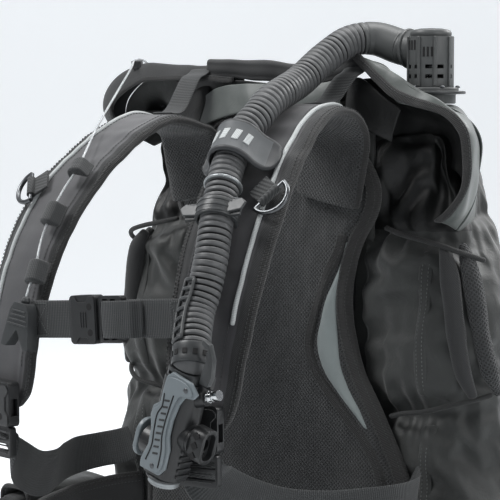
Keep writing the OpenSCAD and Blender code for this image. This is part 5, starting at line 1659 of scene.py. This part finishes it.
for (x_, y_) in ((19, -2), (0, -85)):
    parts.append(lathe(framed(tuple(fv((x_, y_, 22.2))), ("Y", 17), ("X", 90)), [(0.3, -0.6), (2.6, -0.6), (2.6, 0.5), (1.9, 1.0), (0.3, 1.1)], 20))
solid("cover_screws", parts, M["steel"], bev=0.15, slot="steel")
# oval cap of the inflate button with its slot, dome on the deflate button
fb = framed(tuple(fi((0, 0, -72))), ("Y", 17), ("Y", -90))
solid("inflate_cap", [prism(fb, rrect(33, 21, 10), 36.2, 37.8)], M["cover"], body="inflate_button", bev=0.9, slot="valve_plastic")
# near-black slot: painted shade in the slot
solid("inflate_slot", [prism(fb, rrect(15, 3.2, 1.5), 37.4, 38.1)], M["dark"], body="inflate_button", bev=0.2, slot="valve_plastic")
fd = framed((151.5, -430.5, -18), ("Y", 17))
solid("deflate_dome", [lathe(fd, [(15, -103.6), (15.1, -105.0), (13.4, -106.6), (9, -107.7), (0.3, -108.1)], 48)], M["silver"], body="deflate_button", bev=0.2, slot="valve_plastic")
solid("deflate_rim", [lathe(fd, [(12.2, -96.4), (17, -96.8), (18.2, -98), (17.6, -99.8), (15.8, -100.2)], 48)], M["plasticgrey"], bev=0.3, slot="valve_plastic")
# body ribs and side blocks
parts = []
for k in range(5):
    parts.append(box(fi, (19.6, 21.2), (-9, 9), (-92 + k * 6.5, -89 + k * 6.5)))
solid("body_ribs", parts, M["plastic"], bev=0.5, slot="valve_plastic")
# near-black diamonds: painted shade in the recesses
parts = []
for k in range(3):
    f2 = framed(tuple(fi((34.5 + 0, -11.2, -62 + k * 10))), ("Y", 17), ("Y", 45))
    parts.append(box(f2, (-3.0, 3.0), (-0.8, 0.5), (-3.0, 3.0)))
solid("mouth_diamonds", parts, M["dark"], bev=0.2, slot="valve_plastic")

# ------------------------------------------------------------------ dump line
CP = resample(spline(np.array(CABLE, float), 12), 2.0)
t, u, v = transport(CP, (1, 0, 0))
s = arclen(CP)
n_ = 14
a = np.linspace(0, 2 * math.pi, n_, endpoint=False)
r = 1.25 + 0.16 * np.sin(3 * a[None, :] + s[:, None] * 0.9)
G = CP[:, None, :3] + r[..., None] * (np.cos(a)[None, :, None] * u[:, None, :] + np.sin(a)[None, :, None] * v[:, None, :])
st = np.stack([np.broadcast_to(a * 1.25, G.shape[:2]), np.broadcast_to(s[:, None], G.shape[:2]), np.zeros(G.shape[:2])], -1)
loft("dump_cable_wire", G, M["cable"], st=st, slot="cable_steel", rep=("dump_cable",))
hard("dump_knob", M["plasticgrey"], "dump_knob", 1.8, 4)
fkn = framed((-87, -409, 30), ("Y", 8), ("X", -4))
solid("knob_bead", [lathe(fkn, [(1.4, 5.6), (4.2, 6.0), (4.8, 8.5), (3.6, 11.5), (1.4, 12.5)], 28)], M["plasticgrey"], body="dump_knob", bev=0.2, slot="valve_plastic")
parts = []
for k in range(4):
    parts.append(box(fkn, (-9 - k * 1.6, 9 + k * 1.6), (-9.0, -7.8), (-3 - k * 4.6, -1.2 - k * 4.6)))
solid("knob_grips", parts, M["plasticgrey"], body="dump_knob", bev=0.5, slot="valve_plastic")
for k, g in enumerate([[-94, -325, 170, 41, 20, 20], [-98, -360, 124, 58, 26, 4], [-92, -390, 66, 62, 26, 12]]):
    f2 = framed((g[0], g[1], g[2]), ("Z", -10), ("X", g[3]), ("Z", g[5]))
    hw_ = g[4] / 2
    # webbing tunnel: a folded band over the cable
    pr = spline(np.array([(-13, -6.8), (-11.5, -5.6), (-9.5, 0), (-7, 5.2), (0, 7.2), (7, 5.2), (9.5, 0), (11.5, -5.6), (13, -6.8)], float), 4)
    T3 = np.gradient(pr, axis=0)
    T3 = T3 / np.linalg.norm(T3, axis=1, keepdims=True)
    rows, st = [], []
    for y_ in np.linspace(-hw_, hw_, 9):
        outp = [f2((p[0], y_, p[1] + 0.4 * math.sin(y_))) for p in pr]
        inn_ = [f2((p[0] + q[1] * 1.8, y_, p[1] - q[0] * 1.8)) for p, q in zip(pr, T3)][::-1]
        rows.append(outp + inn_)
        ss = [i * 2.0 for i in range(len(pr))]
        st.append([(y_, x_, 0) for x_ in ss] + [(y_, x_, 0) for x_ in ss[::-1]])
    loft(f"cable_guide_{k}", np.array(rows), M["webbing"], st=np.array(st), sub=1, slot="webbing", rep=("cable_guides",) if k == 0 else ())
hard("dump_valve", M["plastic"], "harness", 1.0, 3)
hard("dump_plunger", M["plasticgrey"], "dump_plunger", 0.6, 3)
# cable eye at the hood's edge
V, Fq = box(framed((-209, -112, 281), ("Z", 20), ("X", 10)), (-6, 6), (-3.5, 3.5), (-5, 4.6))
solid("cable_tab", [(V, Fq)], M["webdark"], bev=0.8, slot="webbing")

# ------------------------------------------------------------------ buckles


def buckle(sock, plug, plug_body, f, w_, L_):
    hard(sock, M["plastic"], "harness", 1.0, 3)
    hard(plug, M["plastic"], plug_body, 1.0, 3)
    # crowned face plate with finger cut-outs and ridges
    parts = []
    face = []
    h = (w_ + 8) / 2
    L1 = L_
    face = [(-L1 + 3, -h + 4), (-L1 + 7, -h), (-L1 * 0.78, -h), (-L1 * 0.66, -h + 5.5), (-L1 * 0.36, -h + 5.5), (-L1 * 0.24, -h), (-3, -h), (-1, -h + 3),
            (-1, h - 3), (-3, h), (-L1 * 0.24, h), (-L1 * 0.36, h - 5.5), (-L1 * 0.66, h - 5.5), (-L1 * 0.78, h), (-L1 + 7, h), (-L1 + 3, h - 4)]
    parts.append(prism(f, face, 12.6, 14.2))
    solid(sock + "_face", parts, M["plastic"], bev=0.8, slot="buckle")
    parts = []
    for k in range(3):
        parts.append(box(f, (-L1 * 0.58 + k * 3.4, -L1 * 0.58 + k * 3.4 + 1.5), (-h * 0.34, h * 0.34), (14.0, 14.9)))
    solid(sock + "_ridges", parts, M["plastic"], bev=0.4, slot="buckle")
    # near-black discs in the dimples: painted shade in the recesses
    parts = []
    for sg in (-1, 1):
        parts.append(lathe(framed(tuple(f((-L1 * 0.22, sg * h * 0.55, 14.0))), *f.rots), [(0.3, -0.4), (3.6, -0.4), (3.4, 0.35), (0.3, 0.4)], 24))
    solid(sock + "_dimples", parts, M["dark"], bev=0.15, slot="buckle")
    parts = []
    for k in range(4):
        x_ = 4.0 + k * 7.4
        parts.append(box(f, (x_, x_ + 1.6), (-w_ / 2 + 2, w_ / 2 - 2), (10.4, 11.5)))
    solid(plug + "_ridges", parts, M["plastic"], body=plug_body, bev=0.4, slot="buckle")


def fr(o, *rots):
    f = framed(o, *rots)
    f.rots = rots
    return f


buckle("sternum_socket", "sternum_plug", "sternum_plug", fr((15, -398, 26), ("Y", -4), ("X", 90)), 38, 36)
for s_ in (1, -1):
    nm = "left" if s_ > 0 else "right"
    buckle(f"shoulder_socket_{nm}", f"shoulder_plug_{nm}", f"shoulder_plug_{nm}", fr((s_ * 133, -396.5, -92), ("Z", 10 * s_), ("X", 90), ("Z", -90)), 50, 46)
buckle("waist_socket", "waist_plug", "waist_plug", fr((6, -388, -240), ("X", 90)), 50, 46)

# D-rings, plate, screws and the rest of the hardware
for nm in ("left", "right"):
    hard(f"d_ring_{nm}", M["steel"], f"d_ring_{nm}", 0.3, 2)
hard("d_ring_tabs", M["webbing"], "harness", 0.8, 3)
hard("backplate", M["plastic"], "harness", 1.2, 3)
hard("plate_screws", M["chrome"], "harness", 0.5, 2)
hard("tank_pads", M["rubber"], "harness", 1.4, 3)
parts = []
for s_ in (-1, 1):
    for k in range(16):
        zc = -103 + k * 13.7
        if abs(zc) < 26:
            continue
        parts.append(box(framed((s_ * 37, -81.0, zc), ("Z", 24 * s_)), (-8, 8), (0, 2.6), (-2.4, 2.4)))
solid("tank_pad_ribs", parts, M["rubber"], bev=0.7, slot="tank_rubber")
hard("cam_frame", M["plastic"], "harness", 0.8, 2)
hard("cam_lever", M["plastic"], "cam_lever", 1.2, 3)
parts = []
for k in range(5):
    parts.append(box(framed((0, 0, 0)), (14 + k * 4.4, 16 + k * 4.4), (107.2, 108.6), (-21, 21)))
solid("cam_lever_ridges", parts, M["plastic"], body="cam_lever", bev=0.5, slot="buckle")
hard("rear_dump", M["plastic"], "harness", 1.0, 3)
hard("rear_dump_ball", M["plasticgrey"], "rear_dump_ball", 0.3, 2)
fr_ = framed((-160, 26.4, -230), ("X", -90))
parts = []
for k in range(12):
    b = 2 * math.pi * k / 12
    f2 = framed(tuple(fr_((22.6 * math.cos(b), 22.6 * math.sin(b), 9))), ("X", -90), ("Z", math.degrees(b)))
    parts.append(box(f2, (-2.4, 2.4), (-1, 1), (-0.6, 1.4)))
solid("rear_dump_ribs", parts, M["plastic"], bev=0.4, slot="valve_plastic")

# ------------------------------------------------------------------ threads, then finish
for key in list(_st["V"]):
    flush_stitches(key, M["thread"] if key in ("seam_stitches", "web_stitches") else M["threaddk"])
